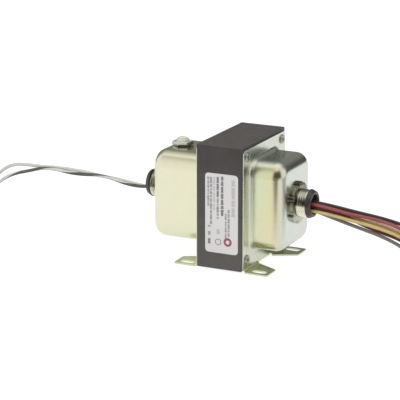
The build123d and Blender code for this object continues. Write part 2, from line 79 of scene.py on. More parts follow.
# Routes of the leads in millimetres, from the coil or the breaker out through the hubs
COIL_FACE = 32.8
TERMINAL_FACE = 50.3
LEFT_ROUTES = {
    "white_lead": [
        (-COIL_FACE, -2.3, 46.5), (-48.0, -2.3, 46.5), (-60.0, -0.6, 46.2), (-72.0, 1.9, 46.1),
        (-85.0, 1.8, 46.1), (-99.1, 1.5, 48.2), (-113.5, 1.5, 49.5), (-127.2, 1.5, 50.5),
        (-139.1, 1.5, 51.9), (-152.0, 1.5, 52.4), (-165.0, 1.5, 52.5), (-178.2, 1.5, 51.7),
        (-191.0, 1.3, 51.8), (-203.0, 1.0, 51.2), (-212.5, 0.8, 47.4), (-220.5, 1.2, 41.0),
        (-227.5, 2.0, 31.0), (-233.5, 3.0, 19.6), (-241.0, 4.3, 9.3), (-251.5, 6.0, 2.6),
        (-263.0, 8.0, 1.5),
    ],
    "black_lead": [
        (-TERMINAL_FACE, 5.0, 52.0), (-60.0, 4.2, 52.2), (-69.0, 0.2, 50.9), (-81.5, -1.7, 46.5),
        (-97.5, -1.5, 46.7), (-111.8, -1.5, 50.0), (-125.5, -1.5, 51.3), (-137.4, -1.5, 50.3),
        (-150.3, -1.5, 50.1), (-163.3, -1.5, 51.8), (-176.4, -1.6, 51.3), (-189.5, -2.1, 47.6),
        (-201.0, -2.8, 44.6), (-211.0, -3.6, 40.0), (-222.0, -4.2, 31.5), (-230.5, -5.0, 20.5),
        (-238.0, -6.0, 9.8), (-248.0, -7.5, 2.4), (-259.0, -9.6, 1.5),
    ],
}
RIGHT_ROUTES = {
    "black_tap_lead": [
        (COIL_FACE, 1.0, 51.5), (47.5, 1.0, 51.5), (62.0, 1.1, 50.9), (74.6, 1.4, 49.7),
        (87.5, 1.5, 48.0), (100.2, 1.6, 46.5), (112.7, 2.0, 45.0), (125.2, 2.4, 42.8), (138.5, 2.6, 39.5),
        (152.0, 2.6, 34.0), (169.0, 3.1, 24.0), (186.0, 3.4, 12.8), (202.0, 3.0, 4.2), (219.0, 2.6, 1.5),
        (236.0, 3.6, 1.5), (250.0, 3.2, 1.5),
    ],
    "red_lead": [
        (COIL_FACE, -2.4, 50.6), (47.5, -2.4, 50.6), (62.0, -2.0, 50.0), (75.9, -1.6, 48.2),
        (88.7, -1.5, 46.2), (101.5, -1.6, 45.1), (114.2, -1.8, 44.1), (127.0, -3.4, 41.9),
        (139.5, -4.7, 37.4), (152.0, -6.0, 31.5), (169.0, -8.2, 21.0), (185.0, -9.8, 10.2),
        (201.0, -10.2, 3.0), (218.0, -9.8, 1.5), (235.0, -11.0, 1.5), (249.0, -12.6, 1.5),
    ],
    "orange_lead": [
        (COIL_FACE, 3.5, 45.4), (47.5, 3.5, 45.4), (61.5, 3.2, 45.4), (73.9, 3.6, 44.0),
        (86.9, 3.8, 41.9), (100.0, 3.3, 40.7), (113.0, 1.8, 38.2), (126.0, 0.8, 35.8), (138.5, 0.2, 32.6),
        (151.0, -0.2, 28.3), (168.0, -0.6, 18.6), (184.0, -0.4, 8.6), (200.0, -0.1, 2.4),
        (217.0, -0.6, 1.5), (235.0, 0.2, 1.5), (249.0, -0.4, 1.5),
    ],
    "yellow_lead": [
        (COIL_FACE, -2.7, 44.8), (47.5, -2.7, 44.8), (62.5, -2.3, 44.9), (76.1, -2.0, 43.4),
        (89.2, -2.4, 41.6), (102.1, -3.0, 40.3), (115.0, -3.4, 38.2), (128.0, -4.0, 35.4),
        (139.5, -4.6, 30.9), (151.0, -5.0, 24.8), (167.0, -6.2, 14.4), (183.0, -6.8, 5.6),
        (199.0, -6.5, 1.6), (216.0, -7.2, 1.5), (234.0, -6.8, 1.5), (248.0, -7.6, 1.5),
    ],
    "cream_lead": [
        (COIL_FACE, 3.6, 48.8), (47.5, 3.6, 48.8), (61.5, 3.1, 48.4), (74.1, 3.2, 47.2),
        (87.2, 2.4, 45.1), (99.8, 3.4, 43.8), (111.9, 5.0, 40.2), (124.4, 5.2, 36.6), (137.5, 5.2, 31.4),
        (151.0, 5.3, 22.8), (167.0, 6.4, 11.8), (183.0, 6.9, 3.8), (199.0, 6.5, 1.5), (216.0, 6.6, 1.5),
        (233.0, 7.0, 1.5), (247.0, 6.6, 1.5),
    ],
    "brown_lead": [
        (COIL_FACE, 0.4, 47.4), (47.5, 0.4, 47.4), (61.5, 0.4, 47.1), (75.0, 0.6, 45.1),
        (88.0, 0.4, 42.3), (100.7, 1.0, 37.6), (113.4, 1.8, 33.9), (124.8, 4.2, 30.4), (136.5, 6.4, 24.9),
        (149.0, 8.6, 17.8), (165.0, 9.8, 8.4), (180.0, 10.4, 2.6), (196.0, 10.0, 1.5), (213.0, 10.6, 1.5),
        (230.0, 10.2, 1.5), (244.0, 11.0, 1.5),
    ],
    "grey_lead": [
        (COIL_FACE, 0.6, 44.0), (47.5, 0.6, 44.0), (62.0, 0.5, 44.3), (75.3, 0.3, 40.8),
        (88.5, -0.4, 37.8), (101.5, -1.1, 35.1), (114.6, -2.1, 32.4), (125.2, -2.0, 28.8),
        (136.5, -1.8, 23.3), (149.0, -2.4, 16.0), (165.0, -3.3, 6.9), (180.0, -3.6, 2.0),
        (196.0, -3.2, 1.5), (213.0, -3.8, 1.5), (230.0, -3.4, 1.5), (244.0, -4.0, 1.5),
    ],
}
# The middle of each hub's mouth, in metres
LEFT_EXIT = (-0.0615, 0.0, 0.0485)
RIGHT_EXIT = (0.061, 0.0, 0.047)


def linear(value):
    """One channel of a screen colour, 0 to 255, as a linear value by the usual screen curve."""
    level = value / 255
    if level <= 0.04045:
        return level / 12.92
    return ((level + 0.055) / 1.055) ** 2.4


def paint(red, green, blue):
    """A screen colour as the four linear numbers that a colour socket takes."""
    return (linear(red), linear(green), linear(blue), 1.0)


def shaded(colour, factor):
    """A linear colour made darker or lighter by a factor."""
    return tuple(min(channel * factor, 1.0) for channel in colour[:3]) + (1.0,)


# Node trees

# Shared effects by key, filled in by make_effects
EFFECTS = {}


class Wiring:
    """A node tree under construction."""

    def __init__(self, tree):
        self.nodes = tree.nodes
        self.links = tree.links

    def feed(self, source, target):
        """Joins an output to an input, or writes a plain value into it."""
        if isinstance(source, bpy.types.NodeSocket):
            self.links.new(source, target)
        else:
            target.default_value = source

    def node(self, kind, inputs, output=0, **settings):
        """Adds a node, feeds its inputs by name or number, and gives one of its outputs."""
        node = self.nodes.new(kind)
        for name, value in settings.items():
            setattr(node, name, value)
        for key, source in inputs.items():
            self.feed(source, node.inputs[key])
        return node.outputs[output]

    def math(self, operation, first, second=0.0):
        """One step of arithmetic on one or two numbers."""
        return self.node("ShaderNodeMath", {0: first, 1: second}, operation=operation)

    def spread(self, value, start, stop, low=0.0, high=1.0):
        """Takes what lies between start and stop to between low and high, and holds it there."""
        return self.node("ShaderNodeMapRange", {
            "Value": value, "From Min": start, "From Max": stop, "To Min": low, "To Max": high}, "Result")

    def noise(self, vector, scale, **values):
        """Noise over a vector, with values such as detail and roughness."""
        inputs = {name.title(): value for name, value in values.items()}
        return self.node("ShaderNodeTexNoise", {"Vector": vector, "Scale": scale, **inputs}, "Fac")


class Finish(Wiring):
    """A material under construction: its Principled shader and its Object coordinates."""

    def __init__(self, name, metallic=0.0, specular=0.5):
        self.material = bpy.data.materials.new(name)
        self.material.use_nodes = True
        super().__init__(self.material.node_tree)
        self.shader = self.nodes["Principled BSDF"].inputs
        self.shader["Metallic"].default_value = metallic
        self.shader["Specular IOR Level"].default_value = specular
        self.texture = self.nodes.new("ShaderNodeTexCoord").outputs

    def effect(self, name, **values):
        """A shared effect on the piece's Object coordinates, with its own values."""
        inputs = {key.title(): value for key, value in values.items()}
        inputs["Vector"] = self.texture["Object"]
        return self.node("ShaderNodeGroup", inputs, node_tree=EFFECTS[name])

    def mix(self, mask, low, high):
        """A colour that goes from low to high as the mask goes from nought to one."""
        return self.node("ShaderNodeMix", {0: mask, 6: low, 7: high}, 2, data_type="RGBA")

    def blend(self, mask, low, high):
        """A number that goes from low to high as the mask goes from nought to one."""
        return self.spread(mask, 0.0, 1.0, low, high)

    def axis(self, letter, source="Object"):
        """One coordinate of the piece, in metres, or of its surface's direction."""
        return self.node("ShaderNodeSeparateXYZ", {0: self.texture[source]}, letter)

    def between(self, letter, start, stop, low=0.0, high=1.0):
        """Low before one place along an axis and high after the other, both places in millimetres."""
        return self.spread(self.axis(letter), start * MM, stop * MM, low, high)

    def ramp(self, value, stops):
        """A colour by a number from nought to one, with stops of place and linear colour."""
        node = self.nodes.new("ShaderNodeValToRGB")
        self.feed(value, node.inputs[0])
        elements = node.color_ramp.elements
        while len(elements) < len(stops):
            elements.new(0.5)
        for element, (place, colour) in zip(elements, stops):
            element.position = place
            element.color = colour
        return node.outputs["Color"]

    def dressed(self, colour, roughness, height=None, distance=0.0, strength=1.0):
        """Feeds the shader its colour, roughness and bump, and gives the finished material."""
        self.feed(colour, self.shader["Base Color"])
        self.feed(roughness, self.shader["Roughness"])
        if height is not None:
            bump = {"Height": height, "Distance": distance, "Strength": strength}
            self.feed(self.node("ShaderNodeBump", bump), self.shader["Normal"])
        return self.material

    def glowing(self, surface):
        """Puts a shader of another kind on the material's surface."""
        self.feed(surface, self.nodes["Material Output"].inputs["Surface"])
        return self.material


def make_effect(name, output, values, build):
    """A shared node group: a Vector and named numbers in, and one number out."""
    tree = bpy.data.node_groups.new(name, "ShaderNodeTree")
    tree.interface.new_socket("Vector", in_out="INPUT", socket_type="NodeSocketVector")
    for key, value in values.items():
        tree.interface.new_socket(key, in_out="INPUT", socket_type="NodeSocketFloat").default_value = value
    tree.interface.new_socket(output, in_out="OUTPUT", socket_type="NodeSocketFloat")
    wiring = Wiring(tree)
    result = build(wiring, tree.nodes.new("NodeGroupInput").outputs)
    wiring.feed(result, tree.nodes.new("NodeGroupOutput").inputs[output])
    return tree


def build_mottle(wiring, entry):
    """Soft cloudy variation of a given scale, centred on one half."""
    cloud = wiring.noise(entry["Vector"], entry["Scale"], detail=5.0, roughness=0.6)
    inputs = {0: wiring.math("SUBTRACT", cloud, 0.5), 1: entry["Contrast"], 2: 0.5}
    return wiring.node("ShaderNodeMath", inputs, operation="MULTIPLY_ADD", use_clamp=True)


def build_streaks(wiring, entry):
    """Fine streaks drawn out along one direction, as rolled or drawn sheet has."""
    scale = wiring.node("ShaderNodeCombineXYZ", {"X": 1.0, "Y": 1.0, "Z": entry["Stretch"]})
    place = wiring.node("ShaderNodeMapping", {"Vector": entry["Vector"], "Scale": scale})
    return wiring.noise(place, entry["Fineness"], detail=3.0)


def build_dust(wiring, entry):
    """A few small specks, where the noise is highest."""
    cloud = wiring.noise(entry["Vector"], entry["Density"], detail=2.0)
    return wiring.spread(cloud, 0.68, 0.76, 0.0, entry["Amount"])


def make_effects():
    """Builds the shared effects, each with its output and its named numbers."""
    for key, name, output, values, build in (
            ("mottle", "Cloudy Mottle", "Mask", {"Scale": 60.0, "Contrast": 1.0}, build_mottle),
            ("streaks", "Drawn Streaks", "Height", {"Fineness": 900.0, "Stretch": 0.04}, build_streaks),
            ("dust", "Dust Specks", "Mask", {"Density": 700.0, "Amount": 0.5}, build_dust)):
        EFFECTS[key] = make_effect(name, output, values, build)


# Varnish: what is added to its tone as painted floor light at the foot, as painted shade at the crown, and
# along the paler top edge
PAINTED_FLOOR_LIGHT_AT_FOOT = 0.35
PAINTED_SHADE_AT_CROWN = -0.45
TONE_AT_EDGE = 0.62
# Where the top edge starts and is full, in millimetres under the crown
EDGE_START = 0.6
EDGE_FULL = 0.2
# Lines between the sheets: where on the wave they start, their share, their colour, and the specks' colour
LINE_START = 0.82
LINE_SHARE = 0.22
LINE_COLOUR = (38, 35, 34)
SPECK_COLOUR = (120, 114, 108)


def core_varnish(settings):
    """Baked dark varnish over sheet edges: fine lines across X, with blotchy sheen, painted floor light
    towards the foot and painted shade towards the crown.
    """
    finish = Finish("Core Varnish", specular=0.35)
    mottle = finish.effect("mottle", scale=90.0, contrast=1.6)
    specks = finish.effect("dust", density=900.0, amount=0.35)
    low, high = CORE_LOW.z / MM, CORE_HIGH.z / MM
    # Painted light and shade: the varnish grows lighter towards the foot and darker towards the crown
    rise = finish.between("Z", low, high, PAINTED_FLOOR_LIGHT_AT_FOOT, PAINTED_SHADE_AT_CROWN)
    edge = finish.between("Z", high - EDGE_START, high - EDGE_FULL, 0.0, TONE_AT_EDGE)
    tone = finish.math("ADD", finish.blend(mottle, 0.3, 0.7), finish.math("ADD", rise, edge))
    base = finish.mix(tone, tuple(settings.core_dark), tuple(settings.core_light))
    wave = finish.math("SINE", finish.math("MULTIPLY", finish.axis("X"), TURN / settings.sheet_pitch))
    line = finish.math("MULTIPLY", finish.math("GREATER_THAN", wave, LINE_START), LINE_SHARE)
    lined = finish.mix(line, base, paint(*LINE_COLOUR))
    return finish.dressed(finish.mix(specks, lined, paint(*SPECK_COLOUR)),
                          roughness=finish.blend(mottle, 0.42, 0.62),
                          height=wave, distance=0.00004, strength=0.6)


# Film colours along X: place in millimetres and screen colour, from the deep bell's end to the shallow one's
FILM = [
    (-63.0, (232, 234, 208)), (-40.0, (234, 234, 202)), (-24.0, (232, 234, 200)), (-20.0, (208, 213, 196)),
    (0.0, (212, 218, 206)), (19.0, (212, 219, 210)), (22.0, (220, 228, 200)), (29.0, (216, 222, 180)),
    (36.0, (222, 219, 174)), (41.0, (220, 211, 172)), (44.0, (213, 213, 190)), (46.4, (212, 223, 216)),
]
# Pale pink cast in broad blotches, bluer film on the shallow bell's roof, and greener film on the feet
BLUSH = (236, 222, 204)
ROOF_FILM = (224, 232, 222)
FOOT_FILM = (216, 222, 188)
BLUSH_SHARE = 0.35
WORN_SHARE = 0.16
ROOF_SHARE = 0.85
# Where these start and are full, in millimetres: the roof by height and along X, and the feet by height
ROOF_HEIGHT = (81.0, 81.9)
ROOF_REACH = (19.0, 24.0)
FOOT_HEIGHT = (4.5, 2.5)
# The shallow bell's root fillet is duller: both its ends along X, and what is added to its roughness
FILLET_START = (19.3, 19.9)
FILLET_END = (23.5, 21.5)
FILLET_DULLNESS = 0.10
# How far the bells' roughness goes under and over its mean
BELL_SHINIER = 0.03
BELL_DULLER = 0.05


def bell_plating(settings):
    """Chromate over zinc: metal under a film that drifts from cream to green, straw, pink and blue-white."""
    finish = Finish("Chromated Zinc", metallic=1.0)
    drift = finish.effect("mottle", scale=16.0, contrast=1.5)
    fine = finish.effect("mottle", scale=110.0, contrast=1.3)
    first, last = FILM[0][0], FILM[-1][0]
    wander = finish.math("MULTIPLY", finish.math("SUBTRACT", drift, 0.5), settings.film_drift)
    place = finish.math("ADD", finish.between("X", first, last), wander)
    tint = finish.ramp(place, [((x - first) / (last - first), paint(*colour)) for x, colour in FILM])
    blotch = finish.effect("mottle", scale=34.0, contrast=2.2)
    blushed = finish.mix(finish.math("MULTIPLY", blotch, BLUSH_SHARE), tint, paint(*BLUSH))
    worn = finish.mix(finish.math("MULTIPLY", fine, WORN_SHARE), blushed, tuple(settings.plating))
    roof = finish.math("MULTIPLY", finish.between("Z", *ROOF_HEIGHT), finish.between("X", *ROOF_REACH))
    cooled = finish.mix(finish.math("MULTIPLY", roof, ROOF_SHARE), worn, paint(*ROOF_FILM))
    footed = finish.mix(finish.between("Z", *FOOT_HEIGHT), cooled, paint(*FOOT_FILM))
    fillet = finish.math("MULTIPLY", finish.between("X", *FILLET_START), finish.between("X", *FILLET_END))
    even = finish.blend(fine, settings.bell_roughness - BELL_SHINIER, settings.bell_roughness + BELL_DULLER)
    roughness = finish.math("ADD", even, finish.math("MULTIPLY", fillet, FILLET_DULLNESS))
    streaks = finish.effect("streaks", fineness=1100.0, stretch=0.05)
    return finish.dressed(footed, roughness, height=streaks, distance=0.00002, strength=0.3)


# Painted shade on the threads' upper half: its colour, and its share by height as a part of the diameter
THREAD_PAINTED_SHADE = (122, 116, 94)
THREAD_PAINTED_SHADE_SHARE = [(0.00, 0.0), (0.46, 0.0), (0.53, 0.85), (0.60, 0.8), (0.74, 0.3), (1.00, 0.3)]


def hub_plating(settings):
    """Chromate on the threads, with a browner painted shade in their upper half."""
    finish = Finish("Hub Plating", metallic=1.0)
    fine = finish.effect("mottle", scale=260.0, contrast=1.8)
    film = finish.mix(fine, tuple(settings.thread_dark), tuple(settings.thread_light))
    rise = finish.math("SUBTRACT", finish.axis("Z"), RIGHT_HUB_Z * MM)
    height = finish.math("ADD", finish.math("DIVIDE", rise, 2.0 * NIPPLE_RADIUS * MM), 0.5)
    # Painted shade: darkest just over the threads' middle, lighter higher up
    painted_shade = finish.ramp(height, [(place, (share, share, share, 1)) for place, share in THREAD_PAINTED_SHADE_SHARE])
    return finish.dressed(finish.mix(painted_shade, film, paint(*THREAD_PAINTED_SHADE)),
                          roughness=finish.blend(fine, 0.14, 0.26),
                          height=fine, distance=0.00003, strength=0.4)


# Painted light low on the locknuts, a painted reflection of the floor: its colour, its share, and how far in
# millimetres under the hub's middle it starts and is full
LOCKNUT_PAINTED_LIGHT = (228, 226, 206)
PAINTED_LIGHT_SHARE = 0.5
PAINTED_LIGHT_START = 2.0
PAINTED_LIGHT_FULL = 10.0


def locknut_plating(settings):
    """Dull, stained plating, with painted light that grows towards the locknuts' lower half."""
    finish = Finish("Locknut Plating", metallic=1.0)
    fine = finish.effect("mottle", scale=200.0, contrast=1.8)
    film = finish.mix(fine, tuple(settings.locknut_dark), tuple(settings.locknut_light))
    # Painted light: the locknut's lower half is lighter, a painted reflection of the floor
    painted_light = finish.between("Z", RIGHT_HUB_Z - PAINTED_LIGHT_START, RIGHT_HUB_Z - PAINTED_LIGHT_FULL, 0.0, PAINTED_LIGHT_SHARE)
    return finish.dressed(finish.mix(painted_light, film, paint(*LOCKNUT_PAINTED_LIGHT)),
                          roughness=finish.blend(fine, 0.20, 0.34),
                          height=fine, distance=0.00005, strength=0.5)


def mottled_metal(name, scale, contrast, colours, gloss, depth=0.0, strength=0.0):
    """Bare or plated metal, finely mottled between two screen colours and two values of roughness."""
    finish = Finish(name, metallic=1.0)
    fine = finish.effect("mottle", scale=scale, contrast=contrast)
    dark, light = colours
    return finish.dressed(finish.mix(fine, paint(*dark), paint(*light)), finish.blend(fine, *gloss),
                          fine if depth else None, depth, strength)


# Collar on the breaker's nut: where it starts and is full as a share of the nut's height, the radii in
# millimetres where it starts and is full, and its colour
COLLAR_START = 0.35
COLLAR_FULL = 0.50
COLLAR_RADII = (6.4, 5.6)
COLLAR_COLOUR = (184, 186, 178)


def nut_finish():
    """Dull nut, darker than the breaker's nickel as painted shade on its sides, whose upper part wears the
    breaker's pale moulded collar.
    """
    finish = Finish("Collared Nut")
    fine = finish.effect("mottle", scale=240.0, contrast=1.2)
    height = NUT_HIGH.z - NUT_LOW.z
    rise = finish.spread(finish.axis("Z"), NUT_LOW.z + COLLAR_START * height,
                         NUT_LOW.z + COLLAR_FULL * height)
    aside = finish.math("ABSOLUTE", finish.math("SUBTRACT", finish.axis("X"), (NUT_LOW.x + NUT_HIGH.x) / 2))
    inside = finish.spread(aside, COLLAR_RADII[0] * MM, COLLAR_RADII[1] * MM)
    collar = finish.math("MULTIPLY", rise, inside)
    # Painted shade: the nut's metal is darker than the breaker's nickel, for the shade on its sides
    metal = finish.mix(fine, paint(132, 129, 110), paint(190, 188, 168))
    finish.feed(finish.blend(collar, 1.0, 0.0), finish.shader["Metallic"])
    return finish.dressed(finish.mix(collar, metal, paint(*COLLAR_COLOUR)),
                          roughness=finish.blend(fine, 0.18, 0.32))


# Pale specks of dust on plastic, and how far its roughness goes under and over its mean
PLASTIC_SPECK = (150, 146, 140)
PLASTIC_SHINIER = 0.06
PLASTIC_DULLER = 0.08


def plastic(name, colour, roughness, grain=300.0, spread=0.10):
    """Moulded or extruded plastic of a screen colour: slight mottling, uneven gloss and a fine skin."""
    finish = Finish(name)
    mottle = finish.effect("mottle", scale=grain, contrast=1.4)
    specks = finish.effect("dust", density=1200.0, amount=0.12)
    toned = finish.mix(mottle, shaded(paint(*colour), 1 - spread), shaded(paint(*colour), 1 + spread))
    return finish.dressed(finish.mix(specks, toned, paint(*PLASTIC_SPECK)),
                          finish.blend(mottle, roughness - PLASTIC_SHINIER, roughness + PLASTIC_DULLER),
                          height=mottle, distance=0.00002, strength=0.5)


def label_stock(settings):
    """Matt coated film: near-white with a faint tooth."""
    finish = Finish("Label Film", specular=0.3)
    tooth = finish.effect("mottle", scale=1500.0, contrast=1.5)
    broad = finish.effect("mottle", scale=40.0, contrast=1.0)
    base = finish.mix(broad, tuple(settings.label_low), tuple(settings.label_high))
    return finish.dressed(base, roughness=finish.blend(tooth, 0.45, 0.6),
                          height=tooth, distance=0.00001, strength=0.4)


# Worn print: how much of its own colour it keeps, the level of the film that shows through, and its share
INK_KEPT = 0.75
INK_GROUND = 0.6
INK_WEAR = 0.5


def ink(name, colour):
    """Print that is worn a little paler in fine patches."""
    finish = Finish(name)
    worn = finish.effect("mottle", scale=900.0, contrast=1.6)
    full = paint(*colour)
    pale = tuple(INK_KEPT * channel + (1 - INK_KEPT) * INK_GROUND for channel in full[:3]) + (1.0,)
    toned = finish.mix(finish.math("MULTIPLY", worn, INK_WEAR), full, pale)
    return finish.dressed(toned, roughness=finish.blend(worn, 0.45, 0.6))


# Distance from one turn of the windings to the next, in metres
WIRE_PITCH = 0.0007


def wound_wire():
    """Enamelled copper in layers: fine turns along Y."""
    finish = Finish("Enamelled Turns", metallic=0.9)
    turns = finish.math("SINE", finish.math("MULTIPLY", finish.axis("Y"), TURN / WIRE_PITCH))
    mottle = finish.effect("mottle", scale=200.0, contrast=1.4)
    enamel = finish.mix(mottle, paint(150, 70, 34), paint(196, 104, 56))
    return finish.dressed(enamel, roughness=finish.blend(mottle, 0.25, 0.4),
                          height=turns, distance=0.0002, strength=0.8)


# Tracer stripe of the dark left lead: length of one turn along X in metres, its phase, the cosine at its
# edge and the edge's blur, and how much of the pale colour shows in the dark one
TRACER_LAY = 0.050
TRACER_PHASE = TURN * 0.1375 / TRACER_LAY - 2.84
TRACER_EDGE = -0.25
TRACER_BLUR = 0.06
TRACER_STAIN = 0.2


def traced_insulation(name, ground, tracer):
    """Insulation with a broad tracer stripe that winds round the lead as the pair is twisted."""
    finish = Finish(name)
    around = finish.math("ARCTAN2", finish.axis("Z", "Normal"), finish.axis("Y", "Normal"))
    along = finish.math("MULTIPLY", finish.axis("X"), TURN / TRACER_LAY)
    turn = finish.math("ADD", finish.math("ADD", along, around), TRACER_PHASE)
    stripe = finish.spread(finish.math("COSINE", turn), TRACER_EDGE - TRACER_BLUR, TRACER_EDGE + TRACER_BLUR)
    mottle = finish.effect("mottle", scale=160.0, contrast=1.4)
    toned = finish.mix(finish.math("MULTIPLY", mottle, TRACER_STAIN), paint(*ground), paint(*tracer))
    return finish.dressed(finish.mix(stripe, paint(*tracer), toned),
                          roughness=finish.blend(mottle, 0.32, 0.46),
                          height=mottle, distance=0.00002, strength=0.5)


# Objects and meshes; points closer than this, in metres, are merged
MERGE_DISTANCE = 1e-7


def placed(name, data):
    """A new object in the scene."""
    thing = bpy.data.objects.new(name, data)
    bpy.context.scene.collection.objects.link(thing)
    return thing


def fresh_object(name, mesh, material, body):
    """Puts a mesh into the scene as a piece that rides on a body."""
    thing = placed(name, mesh)
    mesh.materials.append(material)
    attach(thing, body)
    return thing


def mesh_from(name, build, smooth_angle=None):
    """A mesh made by filling a bmesh, with its normals outwards."""
    work = bmesh.new()
    build(work)
    bmesh.ops.remove_doubles(work, verts=work.verts, dist=MERGE_DISTANCE)
    bmesh.ops.recalc_face_normals(work, faces=work.faces)
    mesh = bpy.data.meshes.new(name)
    work.to_mesh(mesh)
    work.free()
    for face in mesh.polygons:
        face.use_smooth = smooth_angle is not None
    if smooth_angle is not None:
        mesh.set_sharp_from_angle(angle=math.radians(smooth_angle))
    return mesh


def close_band(work, near, far):
    """Faces between two closed rings."""
    for step in range(len(near)):
        after = (step + 1) % len(near)
        work.faces.new((near[step], far[step], far[after], near[after]))


def give(material, *nodes):
    """Gives CAD nodes their finish."""
    for node in nodes:
        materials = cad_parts[node].data.materials
        materials.clear()
        materials.append(material)


# Properties

def colour_setting(name, description, colour):
    """A screen colour that a user may change."""
    return bpy.props.FloatVectorProperty(name=name, description=description, subtype="COLOR", size=4,
                                         default=paint(*colour), min=0, max=1)


def length_setting(name, description, default, least):
    """A length that a user may change, with both its values in millimetres."""
    return bpy.props.FloatProperty(name=name, description=description, subtype="DISTANCE", unit="LENGTH",
                                   default=default * MM, min=least * MM)


def angle_setting(name, description, default):
    """An angle in radians that a user may change."""
    return bpy.props.FloatProperty(name=name, description=description, subtype="ANGLE", unit="ROTATION",
                                   default=default)


class CoreProperties(bpy.types.PropertyGroup):
    core_dark: colour_setting("Varnish, dark", "Darker tone of the core's varnish", (56, 53, 53))
    core_light: colour_setting("Varnish, light", "Lighter tone of the core's varnish", (86, 82, 78))
    sheet_pitch: length_setting("Sheet pitch", "Thickness of one lamination with its coating",
                                STACK_THICKNESS / SHEET_COUNT, 0.2)


class BellProperties(bpy.types.PropertyGroup):
    plating: colour_setting("Plating", "Bare zinc showing through the film in fine patches", (206, 208, 190))
    film_drift: bpy.props.FloatProperty(
        name="Film drift", description="How far the film's colours wander along the bell", subtype="FACTOR",
        default=0.05, min=0, max=1)
    bell_roughness: bpy.props.FloatProperty(
        name="Roughness", description="Mean roughness of the drawn sheet", subtype="FACTOR",
        default=0.24, min=0.05, max=1)


class HubProperties(bpy.types.PropertyGroup):
    thread_pitch: length_setting("Thread pitch", "Distance from one thread crest to the next", 1.81, 0.5)
    thread_depth: length_setting("Thread depth", "Depth of the thread's roots", 0.9, 0.1)
    thread_dark: colour_setting("Thread, dark", "Darker tone of the threads' plating", (220, 218, 196))
    thread_light: colour_setting("Thread, light", "Lighter tone of the threads' plating", (248, 248, 234))
    locknut_dark: colour_setting("Locknut, dark", "Darker plating of the locknut", (78, 72, 62))
    locknut_light: colour_setting("Locknut, light", "Lighter plating of the locknut", (174, 170, 150))


class LabelProperties(bpy.types.PropertyGroup):
    label_low: colour_setting("Film, low", "Darker tone of the label film", (184, 182, 182))
    label_high: colour_setting("Film, high", "Lighter tone of the label film", (196, 195, 193))
    print_seed: bpy.props.IntProperty(
        name="Print seed", description="Seed of the plain ticks' number and width", default=4, min=0)


class LeadProperties(bpy.types.PropertyGroup):
    insulation: length_setting("Insulation", "Outer diameter of each lead", 2.7, 0.5)
    conductor: length_setting("Conductor", "Diameter of the stripped strands together", 1.2, 0.2)
    strip: length_setting("Stripped length", "Bare length at each lead's end", 8.0, 1.0)


class StageProperties(bpy.types.PropertyGroup):
    azimuth: angle_setting("Azimuth", "Camera's bearing from the front towards +X", 0.4573)
    elevation: angle_setting("Elevation", "Camera's height over the horizon", 0.2713)
    roll: angle_setting("Roll", "Camera's turn about its own axis", -0.0012)
    lens: bpy.props.FloatProperty(
        name="Lens", description="Focal length in millimetres on a 36 mm sensor", unit="CAMERA",
        default=157.63, min=10)
    place: bpy.props.FloatVectorProperty(
        name="Camera place", description="Where the camera stands", subtype="TRANSLATION", unit="LENGTH",
        size=3, default=(0.54344, -1.17509, 0.40562))


PROPERTY_CLASSES = {
    "core": CoreProperties, "bells": BellProperties, "hubs": HubProperties, "label": LabelProperties,
    "leads": LeadProperties, "stage": StageProperties,
}


def settings_of(name):
    """The scene's settings of one group."""
    return getattr(bpy.context.scene, f"transformer_{name}")


# Lamination stack: sheets in a pack that faces one way, and the parts of a sheet's height: each limb and each
# window takes one, and the tongue takes two
SHEETS_PER_PACK = 11
HEIGHT_PARTS = 6
# Distance from one sheet to the next in metres, a sheet's share of it, the seam between E and I, and how far
# a sheet strays
STACK_PITCH = (CORE_HIGH.x - CORE_LOW.x) / SHEET_COUNT
SHEET_FILL = 0.9
SHEET_SEAM = 0.00008
STACK_STRAY = 0.00006
STACK_SEED = 7
# Two whole numbers nearer than this are the same
SAME_NUMBER = 0.1


def sheet_outline(work, turn, thickness):
    """One pair of stampings, the E towards one side and the I across its open end, as thin plates."""
    low, high = CORE_LOW, CORE_HIGH
    bar = (high.z - low.z) / HEIGHT_PARTS
    middle = (low.z + high.z) / 2
    back = -turn * (high.y - low.y) / 2
    seam = back + turn * (high.y - low.y - bar)
    front = back + turn * (high.y - low.y)
    root = back + turn * bar
    window = [low.z + bar, middle - bar, middle + bar, high.z - bar]
    outline = [(back, low.z), (seam, low.z), (seam, window[0]), (root, window[0]), (root, window[1]),
               (seam, window[1]), (seam, window[2]), (root, window[2]), (root, window[3]), (seam, window[3]),
               (seam, high.z), (back, high.z)]
    start = seam + turn * SHEET_SEAM
    strip = [(start, low.z), (front, low.z), (front, high.z), (start, high.z)]
    for ring in (outline, strip):
        near = [work.verts.new((-thickness / 2, y, z)) for y, z in ring]
        far = [work.verts.new((thickness / 2, y, z)) for y, z in ring]
        work.faces.new(near)
        work.faces.new(list(reversed(far)))
        close_band(work, near, far)


